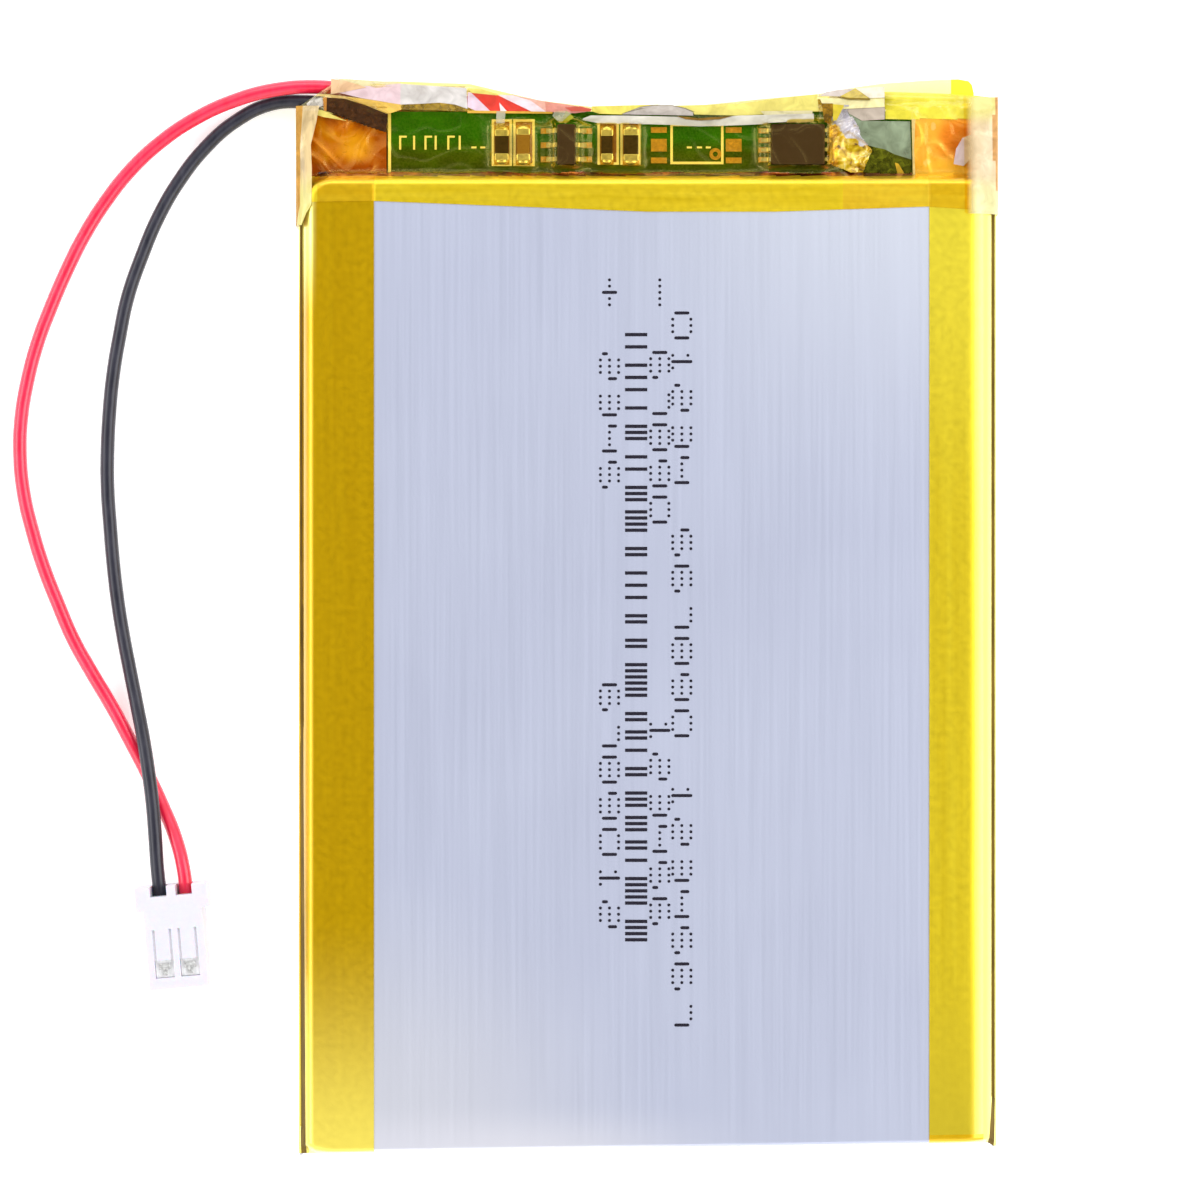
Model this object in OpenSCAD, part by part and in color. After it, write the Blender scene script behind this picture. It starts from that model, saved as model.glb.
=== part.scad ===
// Lithium pouch battery cell with its protection board, taped edges and two-wire lead.
// The pack lies on its back: +X to its right, +Y towards the board end, +Z out of its printed face.
// The origin is on the resting plane under the middle of the pack.

/* [Pack] */
// Width over the side tapes
pack_w = 55; // [54:0.5:56]
// Length from the lower left corner to the tip of the tape tail
pack_l = 85; // [84.5:0.5:86]
// Thickness over the tapes
pack_t = 5; // [5:0.1:5.4]
// Thickness of the amber tape
tape_t = 0.06; // [0.04:0.01:0.08]
// Width of the left side tape on the front face
left_tape_w = 6; // [4.6:0.1:8]
// Width of the right side tape on the front face
right_tape_w = 5.4; // [4.6:0.1:8]
// Width of each tape on the back face
back_tape_w = 4.5; // [3:0.1:4.5]

/* [Pouch] */
// Length of the drawn cup
cup_l = 76.3; // [74:0.1:76.5]
// Corner radius of the cup in plan
cup_corner_r = 3.5; // [3:0.1:4]
// Radius of the cup's front edge
cup_edge_r = 1.4; // [1.2:0.1:1.5]
// Length of the sealed terrace that carries the board
terrace_l = 5.3; // [5:0.1:5.5]
// Thickness of the pouch laminate
laminate_t = 0.12; // [0.1:0.01:0.13]
// Height of the side seals where they stand folded against the cup
seal_h = 3.3; // [2.5:0.1:3.4]

/* [Electrode stack] */
// Number of anode sheets, one more than the cathode sheets
anode_count = 8; // [3:1:8]
// Thickness of one coated anode sheet
anode_t = 0.24; // [0.15:0.01:0.24]
// Thickness of one coated cathode sheet
cathode_t = 0.26; // [0.15:0.01:0.26]
// Thickness of the separator film
separator_t = 0.04; // [0.03:0.01:0.04]
// Distance from the stack to the cup's walls
stack_margin = 1.6; // [1.6:0.1:2.5]

/* [Tabs] */
// Distance of each tab from the middle of the pack
tab_x = 16.9; // [16.5:0.1:17.2]
// Width of a tab
tab_w = 5; // [4:0.1:5]
// Thickness of a tab and of the nickel bridge on it
tab_t = 0.1; // [0.08:0.01:0.12]

/* [Board] */
// Length of the board across the pack
board_l = 41.4; // [41:0.1:42]
// Width of the board
board_w = 4.9; // [4.8:0.1:5]
// Thickness of the board
board_t = 0.8; // [0.6:0.1:0.8]
// Height of the board's underside above the resting plane
board_z = 2.2; // [2.15:0.05:2.3]

/* [Lead] */
// Outer diameter of each wire
wire_d = 1.1; // [1:0.05:1.1]
// Diameter of the tinned strands in each wire
core_d = 0.5; // [0.4:0.05:0.6]
// Width of the plug over its shoulder
plug_w = 5.7; // [5.6:0.1:6]
// Width of the plug below its shoulder
plug_body_w = 4.6; // [4.6:0.1:5]
// Length of the plug
plug_l = 8.1; // [7.8:0.1:8.5]
// Thickness of the plug
plug_t = 4.4; // [4.2:0.1:4.6]
// Distance between the plug's two contacts
plug_pitch = 2; // [2:0.1:2.1]

/* [Hidden] */

$fn = 48;
hull_fn = 32;
far = 200;

// Levels above the resting plane
back_z = tape_t;
cover_top_z = back_z + laminate_t;
front_z = pack_t - tape_t;
film_t = 0.1;
tab_z = cover_top_z + film_t;
tab_fold_z = 0.7;
bridge_z = tab_fold_z + tab_t;
board_top_z = board_z + board_t;
pad_t = 0.05;
part_z = board_top_z + pad_t;
cap_drop = 0.74;
cap_top_z = pack_t - cap_drop;
tail_z = 3;

// How far the left and the right side's seal and tape run past the cup's lower end
left_reach = 0.8;
right_reach = 0.1;

// Places along the pack
base_y = -pack_l / 2;
cup_y0 = base_y + left_reach;
cup_y1 = cup_y0 + cup_l;
terrace_y1 = cup_y1 + terrace_l;
board_gap = 0.3;
board_y0 = cup_y1 + board_gap;
board_y1 = board_y0 + board_w;
row_y = board_y0 + 2.25;
end_tape_w = 2.9;
tape_y = cup_y1 - end_tape_w;

// Places across the pack
side_x = pack_w / 2;
seal_t = 2 * laminate_t;
seal_x = side_x - tape_t - seal_t;
seal_gap = 0.1;
cup_x = seal_x - seal_gap;
board_x0 = -20.5;
board_x1 = board_x0 + board_l;

// Electrode stack
cathode_count = anode_count - 1;
run_count = anode_count + cathode_count + 1;
stack_w = 2 * (cup_x - laminate_t - stack_margin);
stack_y0 = cup_y0 + laminate_t + stack_margin;
weld_room = 3.5;
stack_y1 = cup_y1 - laminate_t - weld_room;
stack_gap = 0.02;
stack_z = cover_top_z + stack_gap;
sheet_margin = 0.5;
ear_t = 0.04;
ear_gap = 0.01;
ear_w = 4;
weld_y0 = stack_y1 + 2;
weld_y1 = stack_y1 + 2.9;
stack_tape_t = 0.04;
stack_tape_l = 12;
stack_tape_y = 20;

// Protection parts on the board, all placed from the middle of the pack
ic_x = -6.4;
ic_w = 1.5;
ic_pitch = 1.12;
mosfet_x = 11.85;
mosfet_w = 4.3;
mosfet_pitch = 0.76;
mosfet_rows = [-1.5:1:1.5];
chip_body_l = 3.15;
chip_body_h = 1;
empty_chip_x = 3.85;

// x, width, length, height of the small parts, which lie lengthways along Y
r1 = [-11.5, 1.1, 2.4, 0.45];
c1 = [-9.8, 1.05, 2.5, 0.8];
r2 = [-3.2, 0.95, 2.4, 0.45];
r3 = [-1.3, 1.2, 2.5, 0.45];
end_cap_l = 0.5;

// Edge of the end tape in plan, left to right: x and the distance beyond the cup's end
cap_edge = [
    [-side_x, 6], [-25, 7.7], [-19.5, 7.7], [-14, 7.5], [-11.5, 6.9], [-8.5, 6.2],
    [-4.5, 5.7], [4, 5.8], [9, 6.3], [13.5, 6.7], [18.5, 6.9], [25, 6.7], [side_x, 6.4]
];
// Edge of the loose tail of tape, drawn the same way
tail_edge = [
    [13.6, 6.75], [16, 7.2], [18.5, 7.55], [22, 7.8], [24.6, 7.9], [25.4, 7.75], [25.8, 7.3], [25.8, 6.8]
];

// Plug: the middle of its wire end, and its turn on the surface
plug_at = [-37.55, -21.2, 0];
plug_turn = 5;
shoulder_l = 1.9;
wire_hole_z = 2.2;
wire_hole_gap = 0.2;
wire_in = 1.4;
cavity_w = 1.5;
cavity_h = 1.6;
cavity_z0 = wire_hole_z - cavity_h / 2;
cavity_z1 = wire_hole_z + cavity_h / 2;
tongue_w = 1.1;
tongue_l = 2.4;
window_y = -3.4;
window_end_y = -7.2;
contact_w = 1.3;
contact_t = 0.15;
contact_y0 = -7.6;
contact_y1 = -4.2;

// The bare tinned strands at a wire's two ends
tip_l = 1.1;
crimp_l = 1.6;

// The wires' centre lines, from inside the plug to the soldered ends under the board
red_route = [
    [-36.4, -22.6, 2.2], [-36.7, -20, 2.1], [-37.4, -17.5, 1.5], [-38.5, -15, 0.8],
    [-39.65, -12.6, 0.6], [-41, -10, 0.6], [-42.5, -7.2, 0.6], [-44.1, -4.5, 0.6],
    [-45.6, -1.8, 0.6], [-46.8, 1, 0.6], [-47.9, 3.8, 0.6], [-48.8, 6.7, 0.6],
    [-49.5, 9.7, 0.6], [-49.8, 12.7, 0.6], [-49.7, 15.7, 0.6], [-49.2, 18.7, 0.6],
    [-48.4, 21.7, 0.6], [-47.35, 24.5, 0.6], [-46.1, 27.4, 0.6], [-44.7, 30.2, 0.6],
    [-43, 32.9, 0.6], [-41, 35.4, 0.7], [-38.6, 37.6, 0.9], [-35.9, 39.4, 1.1],
    [-32.8, 40.8, 1.4], [-29.6, 41.65, 1.6], [-26.4, 41.9, 1.6], [-23, 41.6, 1.5],
    [-19.5, 41.2, 1.5], [-16, 40.8, 1.5], [-12.5, 40.5, 1.5], [-9, 40.1, 1.5],
    [-6.2, 39.7, 1.5], [-4.4, 39.2, 1.5]
];
black_route = [
    [-38.45, -22.7, 2.2], [-38.75, -20, 2.2], [-38.93, -17.4, 2.2], [-39.15, -14.8, 2.1],
    [-39.5, -12.2, 1.9], [-39.95, -9.6, 1.5], [-40.5, -7, 1], [-41.05, -4.4, 0.7],
    [-41.6, -1.6, 0.6], [-42.05, 1.2, 0.6], [-42.4, 4.2, 0.6], [-42.65, 7.2, 0.6],
    [-42.85, 10.2, 0.6], [-42.85, 13.2, 0.6], [-42.7, 16.2, 0.6], [-42.4, 19.2, 0.6],
    [-41.9, 22.2, 0.6], [-41.25, 25.3, 0.6], [-40.15, 28.5, 0.6], [-38.8, 31.7, 0.6],
    [-37.15, 34.55, 0.6], [-35.1, 37.15, 0.65], [-32.7, 39.25, 0.7], [-29.9, 40.6, 0.85],
    [-27.2, 40.78, 1], [-25.2, 40.5, 1.35], [-23, 39.7, 1.5], [-20.8, 38.7, 1.5]
];

// Colours
silver = [0.80, 0.82, 0.88];
amber = [0.85, 0.70, 0.10];
green = [0.08, 0.40, 0.10];
gold = [0.90, 0.72, 0.30];
nickel = [0.75, 0.75, 0.73];
chip_black = [0.20, 0.16, 0.15];

// ---- Paths and outlines ----

function reversed(list) = [for (i = [len(list) - 1:-1:0]) list[i]];

function unit(v) = v / norm(v);

function edge_normal(path, i) = let (v = unit(path[i + 1] - path[i])) [-v[1], v[0]];

// A path moved sideways by d, with its corners mitred
function shifted(path, d) = [
    for (i = [0:len(path) - 1])
        let (before = edge_normal(path, max(i - 1, 0)),
             after = edge_normal(path, min(i, len(path) - 2)))
        path[i] + (before + after) * d / (1 + before * after)
];

// The outline of a strip of thickness t on the left side of a path
function band(path, t) = concat(path, reversed(shifted(path, t)));

function arc(cx, cy, r, a0, a1, n = 8) =
    [for (i = [0:n]) let (a = a0 + (a1 - a0) * i / n) [cx + r * cos(a), cy + r * sin(a)]];

// An outline in Y and Z, from x0 to x1
module along_x(points, x0, x1) {
    translate([x0, 0, 0]) rotate([90, 0, 90]) linear_extrude(x1 - x0) polygon(points);
}

// An outline in X and Z, from y0 to y1
module along_y(points, y0, y1) {
    translate([0, y1, 0]) rotate([90, 0, 0]) linear_extrude(y1 - y0) polygon(points);
}

// A box from its low corner to its high corner
module block(low, high) {
    translate(low) cube(high - low);
}

// A box of width w along X and length l along Y, centred on x and y, from z0 to z1
module slab(x, y, w, l, z0, z1) {
    block([x - w / 2, y - l / 2, z0], [x + w / 2, y + l / 2, z1]);
}

// ---- Pouch ----

// The cup's shape, drawn in by an amount on the sides and top
module cup_form(inset) {
    corner_r = cup_corner_r - inset;
    edge_r = cup_edge_r - inset;
    post_x = cup_x - cup_corner_r;
    top = front_z - inset;
    hull() {
        for (x = [-post_x, post_x], y = [cup_y0 + cup_corner_r, cup_y1 - cup_corner_r]) {
            translate([x, y, cover_top_z])
                cylinder(r = corner_r, h = top - edge_r - cover_top_z, $fn = hull_fn);
            translate([x, y, top - edge_r])
                rotate_extrude($fn = hull_fn)
                translate([corner_r - edge_r, 0])
                circle(edge_r, $fn = hull_fn);
        }
    }
}

// The tab's sealing film runs past the tab on each side, and past the terrace at each end
film_side = 0.5;
film_end = 0.6;
film_wall = 0.2;
film_w = tab_w + 2 * film_side;
film_l = terrace_l + 2 * film_end;
film_top_z = cover_top_z + 3 * film_t;
terrace_y = (cup_y1 + terrace_y1) / 2;

module film_space(side) {
    slab(side * tab_x, terrace_y, film_w, film_l, cover_top_z, film_top_z);
}

module pouch_cup() {
    color(silver)
    difference() {
        union() {
            cup_form(0);
            block([-seal_x, cup_y0, cover_top_z], [seal_x, terrace_y1, cover_top_z + laminate_t]);
            for (side = [-1, 1])
                slab(side * tab_x, terrace_y, film_w + 2 * film_wall, terrace_l,
                    cover_top_z, film_top_z + laminate_t);
        }
        difference() {
            cup_form(laminate_t);
            block([-far, -far, front_z - laminate_t], [far, far, far]);
        }
        for (side = [-1, 1]) film_space(side);
    }
}

module pouch_cover() {
    color(silver) block([-seal_x, cup_y0, back_z], [seal_x, terrace_y1, cover_top_z]);
}

// One folded seal, drawn on the right. reach is how far it runs past the cup's lower end.
module side_seal(reach) {
    color(silver) block([seal_x, cup_y0 - reach, back_z], [seal_x + seal_t, terrace_y1, back_z + seal_h]);
}

module side_seal_left() { mirror([1, 0, 0]) side_seal(left_reach); }

module side_seal_right() { side_seal(right_reach); }

// ---- Electrode stack ----

// Height of the separator run under sheet j, counted from the back
function run_z(j) = stack_z + j * separator_t + ceil(j / 2) * anode_t + floor(j / 2) * cathode_t;

function sheet_z(j) = run_z(j) + separator_t;

// One coated sheet with the bare ear that is welded to its tab
module sheet(j, t, margin, side, order) {
    z = sheet_z(j);
    end_y = stack_y1 - margin;
    start_y = stack_y0 + margin;
    ear_end_z = tab_z + tab_t + order * (ear_t + ear_gap);
    slab(0, (start_y + end_y) / 2, stack_w - 2 * margin, end_y - start_y, z, z + t);
    ear = [[end_y, z], [stack_y1 + 0.05, z], [weld_y0, ear_end_z], [weld_y1, ear_end_z]];
    lift = [for (p = reversed(ear)) p + [0, ear_t]];
    along_x(concat(ear, lift), side * tab_x - ear_w / 2, side * tab_x + ear_w / 2);
}

module cathode_sheets() {
    color([0.35, 0.35, 0.38])
    for (k = [0:cathode_count - 1]) sheet(2 * k + 1, cathode_t, 2 * sheet_margin, -1, k);
}

module anode_sheets() {
    color([0.55, 0.38, 0.28])
    for (k = [0:anode_count - 1]) sheet(2 * k, anode_t, sheet_margin, 1, k);
}

// One film, folded back and forth between the sheets
module separator() {
    half = stack_w / 2;
    color("white")
    union() {
        for (j = [0:run_count - 1])
            block([-half, stack_y0, run_z(j)], [half, stack_y1, run_z(j) + separator_t]);
        for (j = [0:run_count - 2]) {
            x = j % 2 == 0 ? -half : half - separator_t;
            block([x, stack_y0, run_z(j)], [x + separator_t, stack_y1, run_z(j + 1) + separator_t]);
        }
    }
}

module stack_tape() {
    top = run_z(run_count - 1) + separator_t;
    color([0.6, 0.75, 0.5])
    slab(0, stack_y0 + stack_tape_y, stack_w - 6, stack_tape_l, top, top + stack_tape_t);
}

// ---- Tabs and bridges ----

// The tab runs out of the seal and folds back over the terrace
module tab(side) {
    fold_y = terrace_y1 + 0.9;
    path = [[weld_y0, tab_z], [fold_y, tab_z], [fold_y, bridge_z], [terrace_y1 - 3.6, bridge_z]];
    color(nickel) along_x(band(path, tab_t), side * tab_x - tab_w / 2, side * tab_x + tab_w / 2);
}

module positive_tab() { tab(-1); }

module negative_tab() { tab(1); }

// The sealing film round a tab
module tab_film(side) {
    color([0.9, 0.9, 0.85])
    difference() {
        film_space(side);
        slab(side * tab_x, cup_y1, tab_w, far, tab_z, tab_z + tab_t);
    }
}

module positive_tab_film() { tab_film(-1); }

module negative_tab_film() { tab_film(1); }

// The nickel strip from the folded tab, round the end and under the board
module bridge(side, fold_y) {
    path = [
        [terrace_y1 - 3.4, bridge_z], [fold_y, bridge_z], [fold_y, board_z], [board_y1 - 1.2, board_z]
    ];
    color(nickel) along_x(band(path, tab_t), side * tab_x - tab_w / 2, side * tab_x + tab_w / 2);
}

module positive_bridge() { bridge(-1, cup_y1 + 7.3); }

module negative_bridge() { bridge(1, cup_y1 + 6.5); }

// The pad under the board, cut away over the tabs
module board_insulator() {
    end_margin = 1.5;
    low = [board_x0 + end_margin, board_y0 + 0.2, cover_top_z + laminate_t];
    high = [board_x1 - end_margin, board_y1 - 1.4, board_z - 0.1];
    color([0.75, 0.78, 0.70])
    difference() {
        block(low, high);
        for (side = [-1, 1]) slab(side * tab_x, cup_y1, tab_w + 1.5, far, 0, bridge_z + tab_t);
    }
}

// ---- Board ----

module circuit_board() {
    color(green) block([board_x0, board_y0, board_z], [board_x1, board_y1, board_top_z]);
}

module pad(x, y, w, l) { slab(x, y, w, l, board_top_z, part_z); }

module small_part_pads() {
    for (part = [r1, c1, r2, r3], end = [-1, 1])
        pad(part[0], row_y + end * part[2] / 2, part[1] + 0.1, 0.7);
}

module chip_pads() {
    for (side = [-1, 1], i = [-1:1]) pad(ic_x + side * 1.65, row_y + i * ic_pitch, 0.75, 0.45);
    for (side = [-1, 1], i = mosfet_rows) pad(mosfet_x + side * 2.7, row_y + i * mosfet_pitch, 0.8, 0.4);
}

// The pads of the place where no chip is fitted
module empty_chip_pads() {
    for (side = [-1, 1]) {
        x = empty_chip_x + side * 2.95;
        pad(x, row_y, 1.25, 1);
        for (end = [-1, 1]) pad(x, row_y + end * 1.2, 1.25, 0.45);
    }
}

// The ring round a plated hole
module test_point() {
    translate([empty_chip_x + 1.5, row_y - 0.7, board_top_z])
    difference() {
        cylinder(r = 0.47, h = pad_t);
        translate([0, 0, -pad_t]) cylinder(r = 0.2, h = 3 * pad_t);
    }
}

module board_pads() {
    color(gold) {
        small_part_pads();
        chip_pads();
        empty_chip_pads();
        test_point();
    }
}

// A moulded chip body with sloped upper edges
module chip_body(x, w) {
    low = part_z + 0.05;
    high = part_z + chip_body_h;
    slope = 0.1;
    slope_z = high - 0.5;
    outline = [
        [x - w / 2, low], [x + w / 2, low], [x + w / 2, slope_z], [x + w / 2 - slope, high],
        [x - w / 2 + slope, high], [x - w / 2, slope_z]
    ];
    color(chip_black) along_y(outline, row_y - chip_body_l / 2, row_y + chip_body_l / 2);
}

// A bent lead from the side of a chip body down to its pad. side is the side it leaves from.
module lead(x, y, side, width, reach) {
    lead_t = 0.12;
    out = x + side * reach;
    mid = part_z + 0.5;
    foot = part_z + lead_t;
    path = [[x, mid], [x + side * 0.2, mid], [x + side * 0.3, foot], [out, foot]];
    ordered = side > 0 ? reversed(path) : path;
    along_y(band(ordered, lead_t), y - width / 2, y + width / 2);
}

module protection_ic() { chip_body(ic_x, ic_w); }

module protection_ic_leads() {
    color(nickel)
    for (side = [-1, 1], i = [-1:1])
        lead(ic_x + side * ic_w / 2, row_y + i * ic_pitch, side, 0.35, 0.85);
}

module mosfet() { chip_body(mosfet_x, mosfet_w); }

module mosfet_leads() {
    color(nickel)
    for (side = [-1, 1], i = mosfet_rows)
        lead(mosfet_x + side * mosfet_w / 2, row_y + i * mosfet_pitch, side, 0.28, 0.75);
}

// The body of a small part between its end caps
module small_body(part) {
    slab(part[0], row_y, part[1] - 0.06, part[2] - 2 * end_cap_l, part_z, part_z + part[3] - 0.03);
}

module resistor_r1() { color([0.15, 0.13, 0.13]) small_body(r1); }

module capacitor_c1() { color([0.60, 0.42, 0.25]) small_body(c1); }

module resistor_r2() { color([0.15, 0.13, 0.13]) small_body(r2); }

module resistor_r3() { color([0.15, 0.13, 0.13]) small_body(r3); }

module component_end_caps() {
    color(nickel)
    for (part = [r1, c1, r2, r3], end = [-1, 1])
        slab(part[0], row_y + end * (part[2] - end_cap_l) / 2, part[1], end_cap_l, part_z, part_z + part[3]);
}

// ---- Wires ----

function route_end(route) = route[len(route) - 1];

function heading(route, i) = unit(route[min(i + 1, len(route) - 1)] - route[max(i - 1, 0)]);

// The corners of one ring of a wire, square to its heading
function ring(route, i, r, sides) =
    let (along = heading(route, i), across = unit(cross([0, 0, 1], along)), up = cross(along, across))
    [
        for (k = [0:sides - 1])
            let (a = (k + 0.5) * 360 / sides)
            route[i] + r * (across * cos(a) + up * sin(a))
    ];

module wire(route) {
    sides = 8;
    last = len(route) - 1;
    points = [for (i = [0:last]) each ring(route, i, wire_d / 2, sides)];
    walls = [
        for (i = [0:last - 1], k = [0:sides - 1])
            let (a = i * sides + k, b = i * sides + (k + 1) % sides)
            each [[a, a + sides, b], [b, a + sides, b + sides]]
    ];
    start = [for (k = [0:sides - 1]) k];
    finish = [for (k = [sides - 1:-1:0]) last * sides + k];
    polyhedron(points, concat(walls, [start, finish]));
}

// A straight length of tinned strands from a point along a heading in the plane
module core_tip(from, along, length) {
    translate(from)
    rotate([0, 90, atan2(along[1], along[0])])
    cylinder(d = core_d, h = length);
}

module wire_core(route, side) {
    color(nickel) {
        core_tip(route_end(route), heading(route, len(route) - 1), tip_l);
        in_plug_place()
            core_tip([side * plug_pitch / 2, -wire_in - 0.15, wire_hole_z], [0, -1], crimp_l);
    }
}

module red_wire() { color([0.9, 0.1, 0.2]) wire(red_route); }

module black_wire() { color([0.18, 0.18, 0.22]) wire(black_route); }

module red_wire_core() { wire_core(red_route, 1); }

module black_wire_core() { wire_core(black_route, -1); }

// The solder that holds a wire's bare tip to the underside of the board
module wire_joint(route) {
    end = route_end(route);
    along = heading(route, len(route) - 1);
    difference() {
        translate(end + along * 0.6) sphere(0.75);
        block([-far, -far, board_z], [far, far, far]);
        core_tip(end, along, tip_l);
        translate(end) rotate([0, 0, atan2(along[1], along[0])])
            block([-far, -far, -far], [0, far, far]);
    }
}

module solder_joints() {
    color([0.8, 0.8, 0.8]) {
        wire_joint(red_route);
        wire_joint(black_route);
    }
}

// ---- Plug, drawn with its wire end at the origin and its mating end towards -Y ----

module in_plug_place() {
    translate(plug_at) rotate([0, 0, plug_turn]) children();
}

module plug_body() {
    block([-plug_w / 2, -shoulder_l, 0.3], [plug_w / 2, 0, plug_t]);
    block([-plug_body_w / 2, -plug_l, 0], [plug_body_w / 2, 0.1 - shoulder_l, plug_t]);
}

// The wire's way in, open at the front for its first stretch
module wire_way() {
    hole_d = wire_d + wire_hole_gap;
    translate([0, 1, wire_hole_z]) rotate([90, 0, 0]) cylinder(d = hole_d, h = 1 + wire_in + 0.1);
    block([-hole_d / 2, -0.8, wire_hole_z], [hole_d / 2, 1, far]);
}

// The window over a contact, with the latching tongue standing in its upper part
module window() {
    difference() {
        block([-cavity_w / 2, window_end_y, wire_hole_z], [cavity_w / 2, window_y, far]);
        block([-tongue_w / 2, window_y - tongue_l, cavity_z1], [tongue_w / 2, window_y + 1, plug_t]);
    }
}

module plug_housing() {
    color([0.96, 0.96, 0.97])
    in_plug_place()
    difference() {
        plug_body();
        for (side = [-1, 1])
            translate([side * plug_pitch / 2, 0, 0]) {
                wire_way();
                block([-cavity_w / 2, -far, cavity_z0], [cavity_w / 2, -wire_in, cavity_z1]);
                window();
            }
    }
}

// A crimped contact: a trough round the strands and a box that takes the pin
module plug_contact(side) {
    half = contact_w / 2;
    inside = half - contact_t;
    trough = half - 0.1;
    color(nickel)
    in_plug_place()
    translate([side * plug_pitch / 2, 0, wire_hole_z]) {
        difference() {
            block([-half, contact_y0, -half], [half, contact_y1, half]);
            block([-inside, -far, -inside], [inside, contact_y1 - contact_t, inside]);
        }
        difference() {
            block([-trough, contact_y1, -half], [trough, -wire_in - 0.2, 0.25]);
            translate([0, -far / 2, 0]) rotate([-90, 0, 0]) cylinder(d = core_d, h = far);
            block([-core_d / 2, -far, 0], [core_d / 2, far, far]);
        }
    }
}

module plug_contact_red() { plug_contact(1); }

module plug_contact_black() { plug_contact(-1); }

// ---- Tapes ----

// The path of the tape round one side, from the front face over the cup's edge to the back face
function side_wrap(front_w) = concat(
    [[side_x - front_w, front_z]],
    arc(cup_x - cup_edge_r, front_z - cup_edge_r, cup_edge_r, 90, 0),
    [[cup_x, back_z + seal_h], [seal_x + seal_t, back_z + seal_h],
     [seal_x + seal_t, back_z], [side_x - back_tape_w, back_z]]
);

// One side tape, drawn on the right
module side_tape(front_w, reach) {
    color(amber) along_y(band(side_wrap(front_w), tape_t), cup_y0 - reach, tape_y);
}

module side_tape_left() { mirror([1, 0, 0]) side_tape(left_tape_w, left_reach); }

module side_tape_right() { side_tape(right_tape_w, right_reach); }

// An edge that is drawn from the cup's end, at its place on the pack
function from_cup_end(edge) = [for (p = edge) [p[0], cup_y1 + p[1]]];

cap_points = from_cup_end(cap_edge);

// A sheet of the end tape between a straight line and the tape's edge
module cap_sheet(y0, z0, z1) {
    translate([0, 0, z0])
    linear_extrude(z1 - z0)
    polygon(concat([[side_x, y0], [-side_x, y0]], cap_points));
}

// The wall of the end tape past the board, along the tape's edge
module cap_wall() {
    wall_t = 0.08;
    inner_edge = [for (p = cap_points) p - [0, wall_t]];
    linear_extrude(cap_top_z) polygon(concat(cap_points, reversed(inner_edge)));
}

// The end tape's two side walls
module cap_sides() {
    outline = [
        [tape_y, 0], [cup_y1 + 6, 0], [cup_y1 + 6, cap_top_z], [cup_y1 + 0.1, cap_top_z],
        [cup_y1 - cup_edge_r, pack_t], [tape_y, pack_t]
    ];
    along_x(outline, -side_x, -side_x + tape_t);
    along_x(outline, side_x - tape_t, side_x);
}

// The tape that closes the board end, from the front face over the board and round to the back
module top_wrap_tape() {
    edge_y = cup_y1 - cup_edge_r;
    edge_z = front_z - cup_edge_r;
    low = cap_top_z - tape_t;
    stop_angle = asin((low - edge_z) / cup_edge_r);
    over_edge = concat([[tape_y, front_z]], arc(edge_y, edge_z, cup_edge_r, 90, stop_angle));
    shoulder_y = edge_y + cup_edge_r * cos(stop_angle);
    color(amber)
    difference() {
        union() {
            along_x(reversed(band(reversed(over_edge), -tape_t)), -side_x, side_x);
            cap_sheet(shoulder_y, low, cap_top_z);
            cap_sheet(tape_y, 0, tape_t);
            cap_wall();
            cap_sides();
        }
        // The mouth that the two wires leave through
        block([-far, terrace_y1, 0.5], [-24.9, far, 2.6]);
    }
}

module tape_tail() {
    color(amber)
    translate([0, 0, tail_z])
    linear_extrude(2 * tape_t)
    polygon(from_cup_end(tail_edge));
}

module joint_patch_tape() {
    low = [15.1, board_y0 + 0.1, board_top_z];
    high = [18, board_y1 - 0.1, board_top_z + tape_t];
    color(amber) block(low, high);
}

pouch_cup();
pouch_cover();
side_seal_left();
side_seal_right();
cathode_sheets();
anode_sheets();
separator();
stack_tape();
positive_tab();
negative_tab();
positive_tab_film();
negative_tab_film();
positive_bridge();
negative_bridge();
board_insulator();
circuit_board();
board_pads();
protection_ic();
protection_ic_leads();
mosfet();
mosfet_leads();
resistor_r1();
capacitor_c1();
resistor_r2();
resistor_r3();
component_end_caps();
solder_joints();
red_wire_core();
black_wire_core();
red_wire();
black_wire();
plug_housing();
plug_contact_red();
plug_contact_black();
side_tape_left();
side_tape_right();
top_wrap_tape();
tape_tail();
joint_patch_tape();
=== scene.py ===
"""Looks of a pouch cell with its protection board, amber taped edges and a two-wire lead with a plug."""
import math
import random

import bpy
import numpy as np
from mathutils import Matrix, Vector, noise


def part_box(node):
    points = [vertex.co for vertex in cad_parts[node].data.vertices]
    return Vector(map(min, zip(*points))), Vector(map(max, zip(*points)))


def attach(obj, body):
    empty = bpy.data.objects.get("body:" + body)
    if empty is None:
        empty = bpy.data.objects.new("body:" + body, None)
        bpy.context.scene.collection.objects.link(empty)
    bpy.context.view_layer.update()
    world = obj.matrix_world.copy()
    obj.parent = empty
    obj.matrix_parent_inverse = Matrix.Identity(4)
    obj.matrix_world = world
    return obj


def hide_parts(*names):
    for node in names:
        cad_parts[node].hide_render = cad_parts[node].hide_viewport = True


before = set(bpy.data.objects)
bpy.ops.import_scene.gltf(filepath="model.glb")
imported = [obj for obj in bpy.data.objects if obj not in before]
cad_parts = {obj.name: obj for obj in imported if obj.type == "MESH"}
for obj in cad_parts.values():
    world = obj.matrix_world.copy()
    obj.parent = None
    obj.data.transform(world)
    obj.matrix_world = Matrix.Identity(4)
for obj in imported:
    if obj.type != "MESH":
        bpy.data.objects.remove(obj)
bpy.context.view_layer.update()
MM = 0.001


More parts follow.
